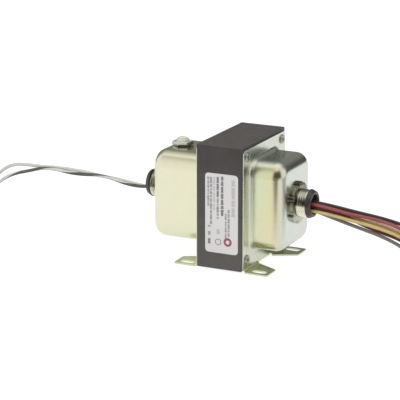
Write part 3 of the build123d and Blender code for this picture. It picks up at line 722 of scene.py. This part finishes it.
def stack_tree(sheets, material):
    """Geometry Nodes: sheets in a row along X, turned pack by pack, each a hair out of line."""
    tree = bpy.data.node_groups.new("Lamination Stack", "GeometryNodeTree")
    face = tree.interface
    face.new_socket("Geometry", in_out="INPUT", socket_type="NodeSocketGeometry")
    for name, kind, value in (
            ("Count", "Int", SHEET_COUNT), ("Pitch", "Float", STACK_PITCH), ("Start", "Float", 0.0),
            ("Per Pack", "Int", SHEETS_PER_PACK), ("Stray", "Float", STACK_STRAY),
            ("Seed", "Int", STACK_SEED)):
        face.new_socket(name, in_out="INPUT", socket_type=f"NodeSocket{kind}").default_value = value
    face.new_socket("Geometry", in_out="OUTPUT", socket_type="NodeSocketGeometry")
    wiring = Wiring(tree)
    entry = tree.nodes.new("NodeGroupInput").outputs
    start = wiring.node("ShaderNodeCombineXYZ", {"X": entry["Start"]})
    step = wiring.node("ShaderNodeCombineXYZ", {"X": entry["Pitch"]})
    line = wiring.node("GeometryNodeMeshLine", {
        "Count": entry["Count"], "Start Location": start, "Offset": step})
    index = wiring.node("GeometryNodeInputIndex", {})
    pack = wiring.math("FLOOR", wiring.math("DIVIDE", index, entry["Per Pack"]))
    parity = wiring.math("MODULO", pack, 2.0)
    stray = wiring.node("FunctionNodeRandomValue", {
        0: (0.0, -1.0, -1.0), 1: (0.0, 0.0, 0.0), "Seed": entry["Seed"]}, data_type="FLOAT_VECTOR")
    offset = wiring.node("ShaderNodeVectorMath", {0: stray, "Scale": entry["Stray"]}, operation="SCALE")
    points = wiring.node("GeometryNodeSetPosition", {"Geometry": line, "Offset": offset})
    join = tree.nodes.new("GeometryNodeJoinGeometry")
    for way, sheet in enumerate(sheets):
        chosen = wiring.node("ShaderNodeMath", {0: parity, 1: float(way), 2: SAME_NUMBER},
                             operation="COMPARE")
        shape = wiring.node("GeometryNodeObjectInfo", {"Object": sheet}, "Geometry")
        copies = {"Points": points, "Selection": chosen, "Instance": shape}
        wiring.feed(wiring.node("GeometryNodeInstanceOnPoints", copies), join.inputs[0])
    real = wiring.node("GeometryNodeRealizeInstances", {0: join.outputs[0]})
    coated = wiring.node("GeometryNodeSetMaterial", {"Geometry": real, "Material": material})
    wiring.feed(coated, tree.nodes.new("NodeGroupOutput").inputs[0])
    return tree


def socket_key(tree, name):
    """The identifier of a tree's named input."""
    return next(item.identifier for item in tree.interface.items_tree
                if item.item_type == "SOCKET" and item.in_out == "INPUT" and item.name == name)


def baked(name, tree, values, body):
    """Runs a Geometry Nodes tree on an empty mesh and keeps the result as a plain mesh."""
    carrier = placed(name, bpy.data.meshes.new(name))
    modifier = carrier.modifiers.new("Build", "NODES")
    modifier.node_group = tree
    for key, value in values.items():
        modifier[socket_key(tree, key)] = value
    graph = bpy.context.evaluated_depsgraph_get()
    graph.update()
    mesh = bpy.data.meshes.new_from_object(carrier.evaluated_get(graph))
    carrier.modifiers.clear()
    carrier.data = mesh
    for face in mesh.polygons:
        face.use_smooth = False
    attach(carrier, body)
    return carrier


class StackOperator(bpy.types.Operator):
    """Lays the lamination stack, sheet by sheet"""
    bl_idname = "transformer.lay_stack"
    bl_label = "Lay Lamination Stack"

    def execute(self, context):
        material = core_varnish(settings_of("core"))
        give(material, "e_laminations", "i_laminations")
        sheets = []
        for name, turn in (("sheet_even", 1), ("sheet_odd", -1)):
            mesh = mesh_from(name, lambda work: sheet_outline(work, turn, STACK_PITCH * SHEET_FILL))
            sheets.append(placed(name, mesh))
        tree = stack_tree(sheets, material)
        values = {"Count": SHEET_COUNT, "Pitch": STACK_PITCH, "Start": CORE_LOW.x + STACK_PITCH / 2}
        stack = baked("lamination_sheets", tree, values, BODY)
        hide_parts("e_laminations", "i_laminations")
        for sheet in sheets:
            bpy.data.objects.remove(sheet, do_unlink=True)
        return {"FINISHED"}


# End bells, rivets and coil

class BellsOperator(bpy.types.Operator):
    """Plates the end bells and the rivets that hold them"""
    bl_idname = "transformer.plate_bells"
    bl_label = "Plate End Bells"

    def execute(self, context):
        give(bell_plating(settings_of("bells")), "right_end_bell", "left_end_bell")
        zinc = mottled_metal("Rivet Zinc", scale=300.0, contrast=1.6,
                             colours=((140, 140, 122), (214, 216, 198)),
                             gloss=(0.28, 0.45), depth=0.00003, strength=0.4)
        give(zinc, "core_rivets")
        return {"FINISHED"}


class CoilOperator(bpy.types.Operator):
    """Finishes the coil inside: bobbin, windings and tape"""
    bl_idname = "transformer.finish_coil"
    bl_label = "Finish Coil"

    def execute(self, context):
        give(plastic("Bobbin Nylon", (222, 218, 202), roughness=0.45), "bobbin")
        give(wound_wire(), "primary_winding", "secondary_winding")
        give(plastic("Coil Tape", (214, 186, 92), roughness=0.35, grain=120.0),
             "primary_tape", "secondary_tape")
        give(plastic("Jumper Insulation", (48, 44, 43), roughness=0.4), "breaker_jumper")
        return {"FINISHED"}


# Hubs: points round a thread, rings in one pitch, the flat of crest and root as a share of half the pitch,
# the run-out in pitches, and the angle in degrees over which edges stay sharp
THREAD_TURN_STEPS = 96
THREAD_PITCH_STEPS = 8
THREAD_FLAT = 0.12
THREAD_RUNOUT = 1.2
NIPPLE_SMOOTH = 40


def thread_profile(share):
    """Depth from crest, 0 to 1, of a V thread with flats, at a share of the pitch."""
    valley = 1.0 - abs(2.0 * (share % 1.0) - 1.0)
    return max(0.0, min(1.0, (valley - THREAD_FLAT) / (1.0 - 2.0 * THREAD_FLAT)))


def nipple_rings(settings):
    """Stations along the nipple: distance outwards and radius in metres, and the thread's depth, 0 to 1."""
    out, radius, collar = NIPPLE_OUT * MM, NIPPLE_RADIUS * MM, NIPPLE_COLLAR_RADIUS * MM
    bore, chamfer = NIPPLE_BORE * MM, NIPPLE_CHAMFER * MM
    seat = -BELL_SHEET * MM
    head = seat - NIPPLE_COLLAR * MM
    stations = [(head, bore, 0), (head, collar - chamfer, 0), (head + chamfer, collar, 0), (seat, collar, 0),
                (seat, radius, 0), (0.0, radius, 0)]
    steps = int((out - chamfer) / settings.thread_pitch * THREAD_PITCH_STEPS)
    for step in range(1, steps + 1):
        along = (out - chamfer) * step / steps
        runout = min(1.0, (out - along) / (THREAD_RUNOUT * settings.thread_pitch))
        stations.append((along, radius, runout))
    stations.append((out, radius - settings.thread_depth, 0))
    stations.append((out, bore, 0))
    return stations


def nipple_build(work, settings, end, side, hub_z):
    """A turned nipple with a real helical thread, closed down its bore."""
    rings = []
    for along, radius, threaded in nipple_rings(settings):
        ring = []
        for step in range(THREAD_TURN_STEPS):
            angle = TURN * step / THREAD_TURN_STEPS
            share = along / settings.thread_pitch - step / THREAD_TURN_STEPS
            reach = radius - threaded * settings.thread_depth * thread_profile(share)
            ring.append(work.verts.new((side * (end + along), reach * math.cos(angle),
                                        hub_z + reach * math.sin(angle))))
        rings.append(ring)
    for near, far in zip(rings, rings[1:] + rings[:1]):
        close_band(work, near, far)


class HubsOperator(bpy.types.Operator):
    """Cuts the conduit threads and finishes locknuts and bushings"""
    bl_idname = "transformer.dress_hubs"
    bl_label = "Dress Conduit Hubs"

    def execute(self, context):
        settings = settings_of("hubs")
        plating = hub_plating(settings)
        give(locknut_plating(settings), "right_locknut", "left_locknut")
        give(plastic("Bushing Nylon", (48, 45, 44), roughness=0.24, spread=0.2),
             "right_bushing", "left_bushing")
        for hand, end, side, hub_z in (("right", RIGHT_BELL_END, 1, RIGHT_HUB_Z),
                                       ("left", LEFT_BELL_END, -1, LEFT_HUB_Z)):
            name = f"{hand}_threaded_nipple"
            mesh = mesh_from(name, lambda work: nipple_build(work, settings, end * MM, side, hub_z * MM),
                             NIPPLE_SMOOTH)
            piece = fresh_object(name, mesh, plating, BODY)
            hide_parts(f"{hand}_nipple")
            give(plating, f"{hand}_nipple")
        return {"FINISHED"}


class BreakerOperator(bpy.types.Operator):
    """Finishes the reset breaker in the top of the deep bell"""
    bl_idname = "transformer.finish_breaker"
    bl_label = "Finish Breaker"

    def execute(self, context):
        nickel = mottled_metal("Bright Nickel", scale=240.0, contrast=1.2,
                               colours=((146, 143, 124), (196, 194, 176)),
                               gloss=(0.16, 0.30), depth=0.00002, strength=0.3)
        give(nickel, "breaker_terminals", "breaker_bimetal")
        give(nut_finish(), "breaker_nut")
        give(plastic("Neck Moulding", (184, 186, 182), roughness=0.35, spread=0.05), "breaker_neck")
        # The washer's dark olive is partly painted shade under the breaker's nut
        give(plastic("Washer With Painted Shade", (86, 82, 68), roughness=0.4), "breaker_washer")
        give(plastic("Breaker Moulding", (38, 37, 38), roughness=0.5), "breaker_body")
        give(plastic("Button Plastic", (190, 198, 172), roughness=0.3, spread=0.04), "reset_button")
        return {"FINISHED"}


# Label and its plain print: how far the print stands off the film and its corners' radius, in metres
PRINT_RISE = 0.00004
PRINT_CORNER = 0.00005
CORNER_STEPS = 3
RING_STEPS = 40
# Share of a stroke's width that a tick may take
TICK_WIDTHS = (0.72, 0.8, 1.0)
# Each kind of print: colour, a tick's and a gap's share of height, ticks in a word, and gap between words
PRINT_KINDS = {
    "text": {"colour": (108, 106, 110), "tick": 0.0085, "gap": 0.0030, "word": (2, 7), "space": 0.010},
    "bold": {"colour": (64, 62, 66), "tick": 0.0105, "gap": 0.0025, "word": (3, 8), "space": 0.011},
    "pale": {"colour": (150, 148, 152), "tick": 0.0110, "gap": 0.0050, "word": (4, 9), "space": 0.016},
}
# Columns of plain ticks across the label: share of width for centre and stroke, start, end, and kind
PRINT_COLUMNS = [
    (0.855, 0.125, 0.06, 0.55, "pale"), (0.720, 0.080, 0.44, 0.79, "text"),
    (0.630, 0.062, 0.49, 0.81, "text"), (0.520, 0.095, 0.03, 0.53, "bold"),
    (0.385, 0.082, 0.04, 0.30, "bold"), (0.385, 0.078, 0.31, 0.57, "text"),
    (0.275, 0.064, 0.05, 0.47, "pale"), (0.180, 0.076, 0.05, 0.66, "text"),
    (0.095, 0.070, 0.05, 0.42, "text"), (0.125, 0.090, 0.66, 0.70, "text"),
    (0.125, 0.100, 0.74, 0.79, "text"), (0.125, 0.100, 0.83, 0.90, "bold"),
    (0.400, 0.130, 0.70, 0.77, "pale"),
]
# Plain rings on the label: centre as a share of width and height, both radii in metres, and colour
PRINT_RINGS = [
    (0.400, 0.860, 0.0026, 0.0019, (112, 110, 114)),
    (0.690, 0.850, 0.0034, 0.0015, (128, 48, 60)),
]


def rounded_bar(work, x0, x1, z0, z1, y):
    """A flat bar with rounded corners, facing -Y."""
    radius = min(PRINT_CORNER, (x1 - x0) / 2, (z1 - z0) / 2)
    ring = []
    for quarter, (cx, cz) in enumerate(((x1 - radius, z1 - radius), (x0 + radius, z1 - radius),
                                        (x0 + radius, z0 + radius), (x1 - radius, z0 + radius))):
        for step in range(CORNER_STEPS + 1):
            angle = math.pi / 2 * (quarter + step / CORNER_STEPS)
            ring.append(work.verts.new((cx + radius * math.cos(angle), y, cz + radius * math.sin(angle))))
    work.faces.new(ring)


def print_ticks(work, kind, rng, face):
    """All the columns of one kind: words of ticks, with random lengths and widths."""
    width, height = LABEL_HIGH.x - LABEL_LOW.x, LABEL_HIGH.z - LABEL_LOW.z
    style = PRINT_KINDS[kind]
    tick = style["tick"]
    for centre, stroke, start, stop, sort in PRINT_COLUMNS:
        along = start
        while sort == kind and along < stop - tick:
            for _ in range(rng.randint(*style["word"])):
                if along > stop - tick:
                    break
                x = LABEL_LOW.x + centre * width
                half = stroke * width / 2 * rng.choice(TICK_WIDTHS)
                rounded_bar(work, x - half, x + half, LABEL_HIGH.z - (along + tick) * height,
                            LABEL_HIGH.z - along * height, face)
                along += tick + style["gap"]
            along += style["space"]


def print_ring(work, across, down, outer, inner, face):
    """A flat ring standing on the label's face."""
    x = LABEL_LOW.x + across * (LABEL_HIGH.x - LABEL_LOW.x)
    z = LABEL_HIGH.z - down * (LABEL_HIGH.z - LABEL_LOW.z)
    angles = [TURN * step / RING_STEPS for step in range(RING_STEPS)]
    rim, hole = [[work.verts.new((x + radius * math.cos(angle), face, z + radius * math.sin(angle)))
                  for angle in angles] for radius in (outer, inner)]
    close_band(work, hole, rim)


class LabelOperator(bpy.types.Operator):
    """Lays the rating label's film and a plain print of ticks and rings"""
    bl_idname = "transformer.print_label"
    bl_label = "Print Label"

    def execute(self, context):
        settings = settings_of("label")
        give(label_stock(settings), "label")
        rng = random.Random(settings.print_seed)
        face = LABEL_LOW.y - PRINT_RISE

        def lay(name, colour, build):
            """One mesh of print on the film, in its own ink."""
            fresh_object(name, mesh_from(name, build), ink(f"{name} ink", colour), BODY)

        for kind, style in PRINT_KINDS.items():
            lay(f"label_{kind}_ticks", style["colour"], lambda work: print_ticks(work, kind, rng, face))
        for number, (*ring, colour) in enumerate(PRINT_RINGS, 1):
            lay(f"label_ring_{number}", colour, lambda work: print_ring(work, *ring, face))
        return {"FINISHED"}


# Leads: screen colours of the insulation, and how many strands lie round the middle one of each bare end
LEAD_COLOURS = {
    "white_lead": (178, 177, 170), "black_lead": (36, 34, 32), "black_tap_lead": (48, 38, 37),
    "red_lead": (126, 60, 60), "orange_lead": (164, 122, 74), "yellow_lead": (172, 154, 96),
    "cream_lead": (218, 196, 176), "brown_lead": (88, 38, 38), "grey_lead": (98, 92, 86),
}
STRAND_COUNT = 6
# Radii of a strand that lie across the whole bare end
RADII_ACROSS = 6
# Length of one turn of the strands in metres, rings along a strand, its sides, and the angle for sharp edges
STRAND_LAY = 0.012
STRAND_STEPS = 14
STRAND_SIDES = 6
STRAND_SMOOTH = 50
# The leads' splines: order, steps between two points, and roundness
LEAD_ORDER = 3
LEAD_STEPS = 10
LEAD_ROUNDNESS = 4


def lead_curve(name, points, diameter, material):
    """A lead as one smooth spline through its route."""
    curve = bpy.data.curves.new(name, "CURVE")
    curve.dimensions = "3D"
    curve.bevel_depth = diameter / 2
    curve.bevel_resolution = LEAD_ROUNDNESS
    curve.resolution_u = LEAD_STEPS
    curve.use_fill_caps = True
    spline = curve.splines.new("NURBS")
    spline.points.add(len(points) - 1)
    for point, place in zip(spline.points, points):
        point.co = (place[0] * MM, place[1] * MM, place[2] * MM, 1.0)
    spline.order_u = LEAD_ORDER
    spline.use_endpoint_u = True
    curve.materials.append(material)
    thing = placed(f"{name}_insulation", curve)
    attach(thing, BODY)
    return thing


def circle_points(centre, side, rise, radius, angles):
    """Places on a circle that two directions span."""
    return [centre + (side * math.cos(angle) + rise * math.sin(angle)) * radius for angle in angles]


def strands_build(work, tip, direction, settings):
    """A core strand with six laid round it, running on from the cut insulation."""
    forward = direction.normalized()
    side = forward.cross(Vector((0, 0, 1))).normalized()
    rise = side.cross(forward)
    strand_radius = settings.conductor / RADII_ACROSS
    corners = [TURN * corner / STRAND_SIDES for corner in range(STRAND_SIDES)]
    for strand in range(STRAND_COUNT + 1):
        orbit = 0.0 if strand == STRAND_COUNT else 2 * strand_radius
        rings = []
        for step in range(STRAND_STEPS + 1):
            along = settings.strip * step / STRAND_STEPS
            turn = TURN * (strand / STRAND_COUNT + along / STRAND_LAY)
            centre = circle_points(tip + forward * along, side, rise, orbit, [turn])[0]
            places = circle_points(centre, side, rise, strand_radius, corners)
            rings.append([work.verts.new(place) for place in places])
        for near, far in zip(rings, rings[1:]):
            close_band(work, near, far)
        work.faces.new(list(reversed(rings[0])))
        work.faces.new(rings[-1])


def lead_cover(name):
    """A lead's insulation; the dark left one has a pale tracer."""
    title = f"{name.replace('_', ' ').title()} Insulation"
    if name == "black_lead":
        return traced_insulation(title, LEAD_COLOURS[name], LEAD_COLOURS["white_lead"])
    return plastic(title, LEAD_COLOURS[name], roughness=0.38, grain=160.0)


class LeadsOperator(bpy.types.Operator):
    """Runs the nine leads and bares their ends"""
    bl_idname = "transformer.run_leads"
    bl_label = "Run Leads"

    def execute(self, context):
        settings = settings_of("leads")
        copper = mottled_metal("Tinned Strands", scale=800.0, contrast=1.6,
                               colours=((186, 120, 84), (214, 186, 160)), gloss=(0.25, 0.42))
        give(copper, "lead_ends")
        for routes, way_out in ((LEFT_ROUTES, LEFT_EXIT), (RIGHT_ROUTES, RIGHT_EXIT)):
            for name, points in routes.items():
                cover = lead_cover(name)
                give(cover, name)
                lead = lead_curve(name, points, settings.insulation, cover)
                tip = Vector(points[-1]) * MM
                direction = tip - Vector(points[-2]) * MM
                mesh = mesh_from(f"{name}_strands",
                                 lambda work: strands_build(work, tip, direction, settings), STRAND_SMOOTH)
                strands = fresh_object(f"{name}_strands", mesh, copper, BODY)
                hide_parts("lead_ends")
                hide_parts(name)
        return {"FINISHED"}


# Stage: half the floor's side in metres, light of the room, how much of the floor is its own white for rays
# that see it, and that white's strength for the camera
FLOOR_SIZE = 6.0
ROOM_LIGHT = 0.75
FLOOR_WHITE = 0.72
FLOOR_TO_CAMERA = 1.2
PURE_WHITE = (1, 1, 1, 1)
PAPER_COLOUR = (0.82, 0.82, 0.82, 1)
PAPER_ROUGHNESS = 0.9
CARD_TINT = (1, 1, 0.97, 1)
# Camera: sensor's width in millimetres, picture's width in pixels, shift of half a pixel, and range in metres
SENSOR_WIDTH = 36.0
PICTURE_WIDTH = 400
CAMERA_SHIFT = -0.5 / PICTURE_WIDTH
CAMERA_RANGE = (0.05, 30.0)
# Lamps, in metres and watts
LAMPS = {
    "overhead_softbox": {"place": (-0.25, -0.35, 1.1), "size": (0.9, 0.9), "watts": 6.5},
    "front_fill": {"place": (0.2, -1.4, 0.5), "size": (1.0, 0.7), "watts": 7.0},
    "right_fill": {"place": (1.2, 0.3, 0.6), "size": (0.7, 0.7), "watts": 5.0},
}
LAMP_TARGET = (0, 0, 0.05)
# Cards that shape reflections: radius in metres, bearing and half width in degrees, rows of elevation and
# level, and for one of them the level around it that its ends fade to
UPRIGHT_CARDS = {
    "back_flag": {"radius": 1.6, "bearing": 105, "half_width": 80,
                  "rows": [(1, 0.25), (22, 0.20), (38, 0.20), (55, 0.5), (68, 1.0)]},
    "corner_flag": {"radius": 1.5, "bearing": 66, "half_width": 26, "around": 0.21,
                    "rows": [(0.5, 0.06), (18, 0.06), (25, 0.20)]},
    "front_flag": {"radius": 1.9, "bearing": -116, "half_width": 50,
                   "rows": [(0.3, 1.0), (20, 0.96), (38, 0.88), (52, 0.68), (60, 0.42), (65, 0.95),
                            (68, 1.0)]},
    "camera_flag": {"radius": 1.7, "bearing": -58, "half_width": 46,
                    "rows": [(0.5, 0.12), (8, 0.06), (40, 0.07), (54, 0.5), (64, 1.0)]},
}
# Dark cards on the floor: rows of reach in metres, first and last bearing from -Y towards +X, and level
FLOOR_CARDS = {
    "table_flag": [(0.18, 24, 30, 1.0), (0.24, 20, 36, 0.35), (0.34, 5, 40, 0.12), (0.7, -10, 43, 0.12),
                   (1.3, -14, 46, 0.2)],
    "side_flag": [(0.16, 90, 116, 1.0), (0.26, 86, 119, 0.55), (0.6, 82, 122, 0.4), (1.3, 82, 122, 0.5)],
}
# Columns of an upright card, the share of it over which it fades, and a floor card's lift in metres and fade
# in degrees
CARD_STEPS = 48
CARD_FADE = 0.25
FLOOR_CARD_LIFT = 0.001
FLOOR_CARD_FADE = 9


def white_to_view(wiring, path):
    """One for rays from the camera, from gloss and through glass, and nought for the light on the object."""
    seen = wiring.math("MAXIMUM", path["Is Camera Ray"], path["Is Glossy Ray"])
    return wiring.math("MAXIMUM", seen, path["Is Transmission Ray"])


def floor_material():
    """Near-white floor: pale paper that stays white behind the object and keeps its soft shadow."""
    finish = Finish("Studio Paper", specular=0.0)
    finish.dressed(PAPER_COLOUR, PAPER_ROUGHNESS)
    path = finish.nodes.new("ShaderNodeLightPath").outputs
    share = finish.math("MULTIPLY", white_to_view(finish, path), FLOOR_WHITE)
    strength = finish.blend(path["Is Camera Ray"], 1.0, FLOOR_TO_CAMERA)
    glow = finish.node("ShaderNodeEmission", {"Color": PURE_WHITE, "Strength": strength})
    paper = finish.nodes["Principled BSDF"].outputs[0]
    return finish.glowing(finish.node("ShaderNodeMixShader", {0: share, 1: paper, 2: glow}))


def studio_world():
    """A plain soft room for light, and white to the camera, to gloss and through glass."""
    world = bpy.data.worlds.new("Studio")
    bpy.context.scene.world = world
    world.use_nodes = True
    wiring = Wiring(world.node_tree)
    wiring.nodes.clear()
    path = wiring.nodes.new("ShaderNodeLightPath").outputs
    room = wiring.node("ShaderNodeBackground", {"Color": PURE_WHITE, "Strength": ROOM_LIGHT})
    white = wiring.node("ShaderNodeBackground", {"Color": PURE_WHITE, "Strength": 1.0})
    choose = wiring.node("ShaderNodeMixShader", {0: white_to_view(wiring, path), 1: room, 2: white})
    wiring.feed(choose, wiring.nodes.new("ShaderNodeOutputWorld").inputs[0])


def studio_flag(name, mesh):
    """A card of the stage that only reflections see, with the grey that each of its points shows."""
    finish = Finish(f"{name} card")
    level = finish.node("ShaderNodeAttribute", {}, "Fac", attribute_type="GEOMETRY", attribute_name="level")
    mesh.materials.append(finish.glowing(
        finish.node("ShaderNodeEmission", {"Color": CARD_TINT, "Strength": level})))
    flag = placed(name, mesh)
    for ray in ("camera", "diffuse", "shadow", "transmission"):
        setattr(flag, f"visible_{ray}", False)


def graded_grid(work, rows):
    """Faces over rows of places, with each point's level kept on it."""
    layer = work.verts.layers.float.new("level")
    grid = []
    for row in rows:
        points = []
        for place, level in row:
            point = work.verts.new(place)
            point[layer] = level
            points.append(point)
        grid.append(points)
    for low, high in zip(grid, grid[1:]):
        for step in range(len(low) - 1):
            work.faces.new((low[step], low[step + 1], high[step + 1], high[step]))


def curved_card(work, radius, bearing, half_width, rows, around=1.0):
    """An upright card bent round the object; at both ends it fades to the level around it."""
    grid = []
    for elevation, level in rows:
        height = radius * math.tan(math.radians(elevation))
        row = []
        for step in range(CARD_STEPS + 1):
            across = 2.0 * step / CARD_STEPS - 1.0
            angle = math.radians(bearing + half_width * across)
            fade = min(1.0, (1.0 - abs(across)) / CARD_FADE)
            row.append(((radius * math.cos(angle), radius * math.sin(angle), height),
                        around + (level - around) * fade))
        grid.append(row)
    graded_grid(work, grid)


def floor_card(work, rows):
    """A flat card on the floor, white at its near edge and at both sides."""
    grid = []
    for reach, first, last, level in rows:
        row = []
        for bearing, shown in ((first - FLOOR_CARD_FADE, 1.0), (first, level), ((first + last) / 2, level),
                               (last, level), (last + FLOOR_CARD_FADE / 2, 1.0)):
            angle = math.radians(bearing)
            row.append(((reach * math.sin(angle), -reach * math.cos(angle), FLOOR_CARD_LIFT), shown))
        grid.append(row)
    graded_grid(work, grid)


def soft_light(name, place, size, watts):
    """A soft lamp that lights the object and isn't mirrored in it."""
    lamp = bpy.data.lights.new(name, "AREA")
    lamp.shape = "RECTANGLE"
    lamp.size, lamp.size_y = size
    lamp.energy = watts
    thing = placed(name, lamp)
    thing.location = place
    thing.rotation_euler = (Vector(LAMP_TARGET) - Vector(place)).to_track_quat("-Z", "Y").to_euler()
    thing.visible_glossy = False


class StageOperator(bpy.types.Operator):
    """Sets the floor, the lights, the room and the camera"""
    bl_idname = "transformer.set_stage"
    bl_label = "Set Stage"

    def execute(self, context):
        work = bmesh.new()
        bmesh.ops.create_grid(work, x_segments=1, y_segments=1, size=FLOOR_SIZE)
        mesh = bpy.data.meshes.new("studio_floor")
        work.to_mesh(mesh)
        work.free()
        mesh.materials.append(floor_material())
        floor = placed("studio_floor", mesh)
        studio_world()
        for name, lamp in LAMPS.items():
            soft_light(name, **lamp)
        for name, card in UPRIGHT_CARDS.items():
            studio_flag(name, mesh_from(name, lambda work: curved_card(work, **card)))
        for name, rows in FLOOR_CARDS.items():
            studio_flag(name, mesh_from(name, lambda work: floor_card(work, rows)))
        self.place_camera(settings_of("stage"))
        bpy.context.scene.view_settings.view_transform = "Standard"
        return {"FINISHED"}

    def place_camera(self, settings):
        """Sets up the camera by its place, bearing, height and roll."""
        data = bpy.data.cameras.new("camera")
        data.lens = settings.lens
        data.sensor_width = SENSOR_WIDTH
        data.shift_x = CAMERA_SHIFT
        data.clip_start, data.clip_end = CAMERA_RANGE
        camera = placed("camera", data)
        azimuth, elevation, roll = settings.azimuth, settings.elevation, settings.roll
        back = Vector((math.sin(azimuth) * math.cos(elevation), -math.cos(azimuth) * math.cos(elevation),
                       math.sin(elevation)))
        right = Vector((math.cos(azimuth), math.sin(azimuth), 0.0))
        up = back.cross(right)
        turned_right = right * math.cos(roll) + up * math.sin(roll)
        turned_up = -right * math.sin(roll) + up * math.cos(roll)
        rotation = Matrix((turned_right, turned_up, back)).transposed()
        camera.matrix_world = Matrix.Translation(settings.place) @ rotation.to_4x4()
        bpy.context.scene.camera = camera


OPERATORS = (StageOperator, StackOperator, BellsOperator, CoilOperator, HubsOperator, BreakerOperator,
             LabelOperator, LeadsOperator)


class TransformerPanel(bpy.types.Panel):
    """Lists the steps of the dress and their settings"""
    bl_label = "Control Transformer"
    bl_idname = "VIEW3D_PT_transformer"
    bl_space_type = "VIEW_3D"
    bl_region_type = "UI"
    bl_category = "Transformer"

    def draw(self, context):
        for operator in OPERATORS:
            self.layout.operator(operator.bl_idname)
        for name, group in PROPERTY_CLASSES.items():
            box = self.layout.box()
            box.label(text=name.title())
            for key in group.__annotations__:
                box.prop(settings_of(name), key)


def register():
    """Registers the settings, the steps and the panel."""
    for name, group in PROPERTY_CLASSES.items():
        bpy.utils.register_class(group)
        setattr(bpy.types.Scene, f"transformer_{name}", bpy.props.PointerProperty(type=group))
    for operator in OPERATORS:
        bpy.utils.register_class(operator)
    bpy.utils.register_class(TransformerPanel)


def unregister():
    """Takes away what register added, in reverse."""
    bpy.utils.unregister_class(TransformerPanel)
    for operator in reversed(OPERATORS):
        bpy.utils.unregister_class(operator)
    for name, group in PROPERTY_CLASSES.items():
        delattr(bpy.types.Scene, f"transformer_{name}")
        bpy.utils.unregister_class(group)


def main():
    """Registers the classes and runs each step."""
    register()
    make_effects()
    for operator in OPERATORS:
        area, step = operator.bl_idname.split(".")
        getattr(getattr(bpy.ops, area), step)()


if __name__ == "__main__":
    main()
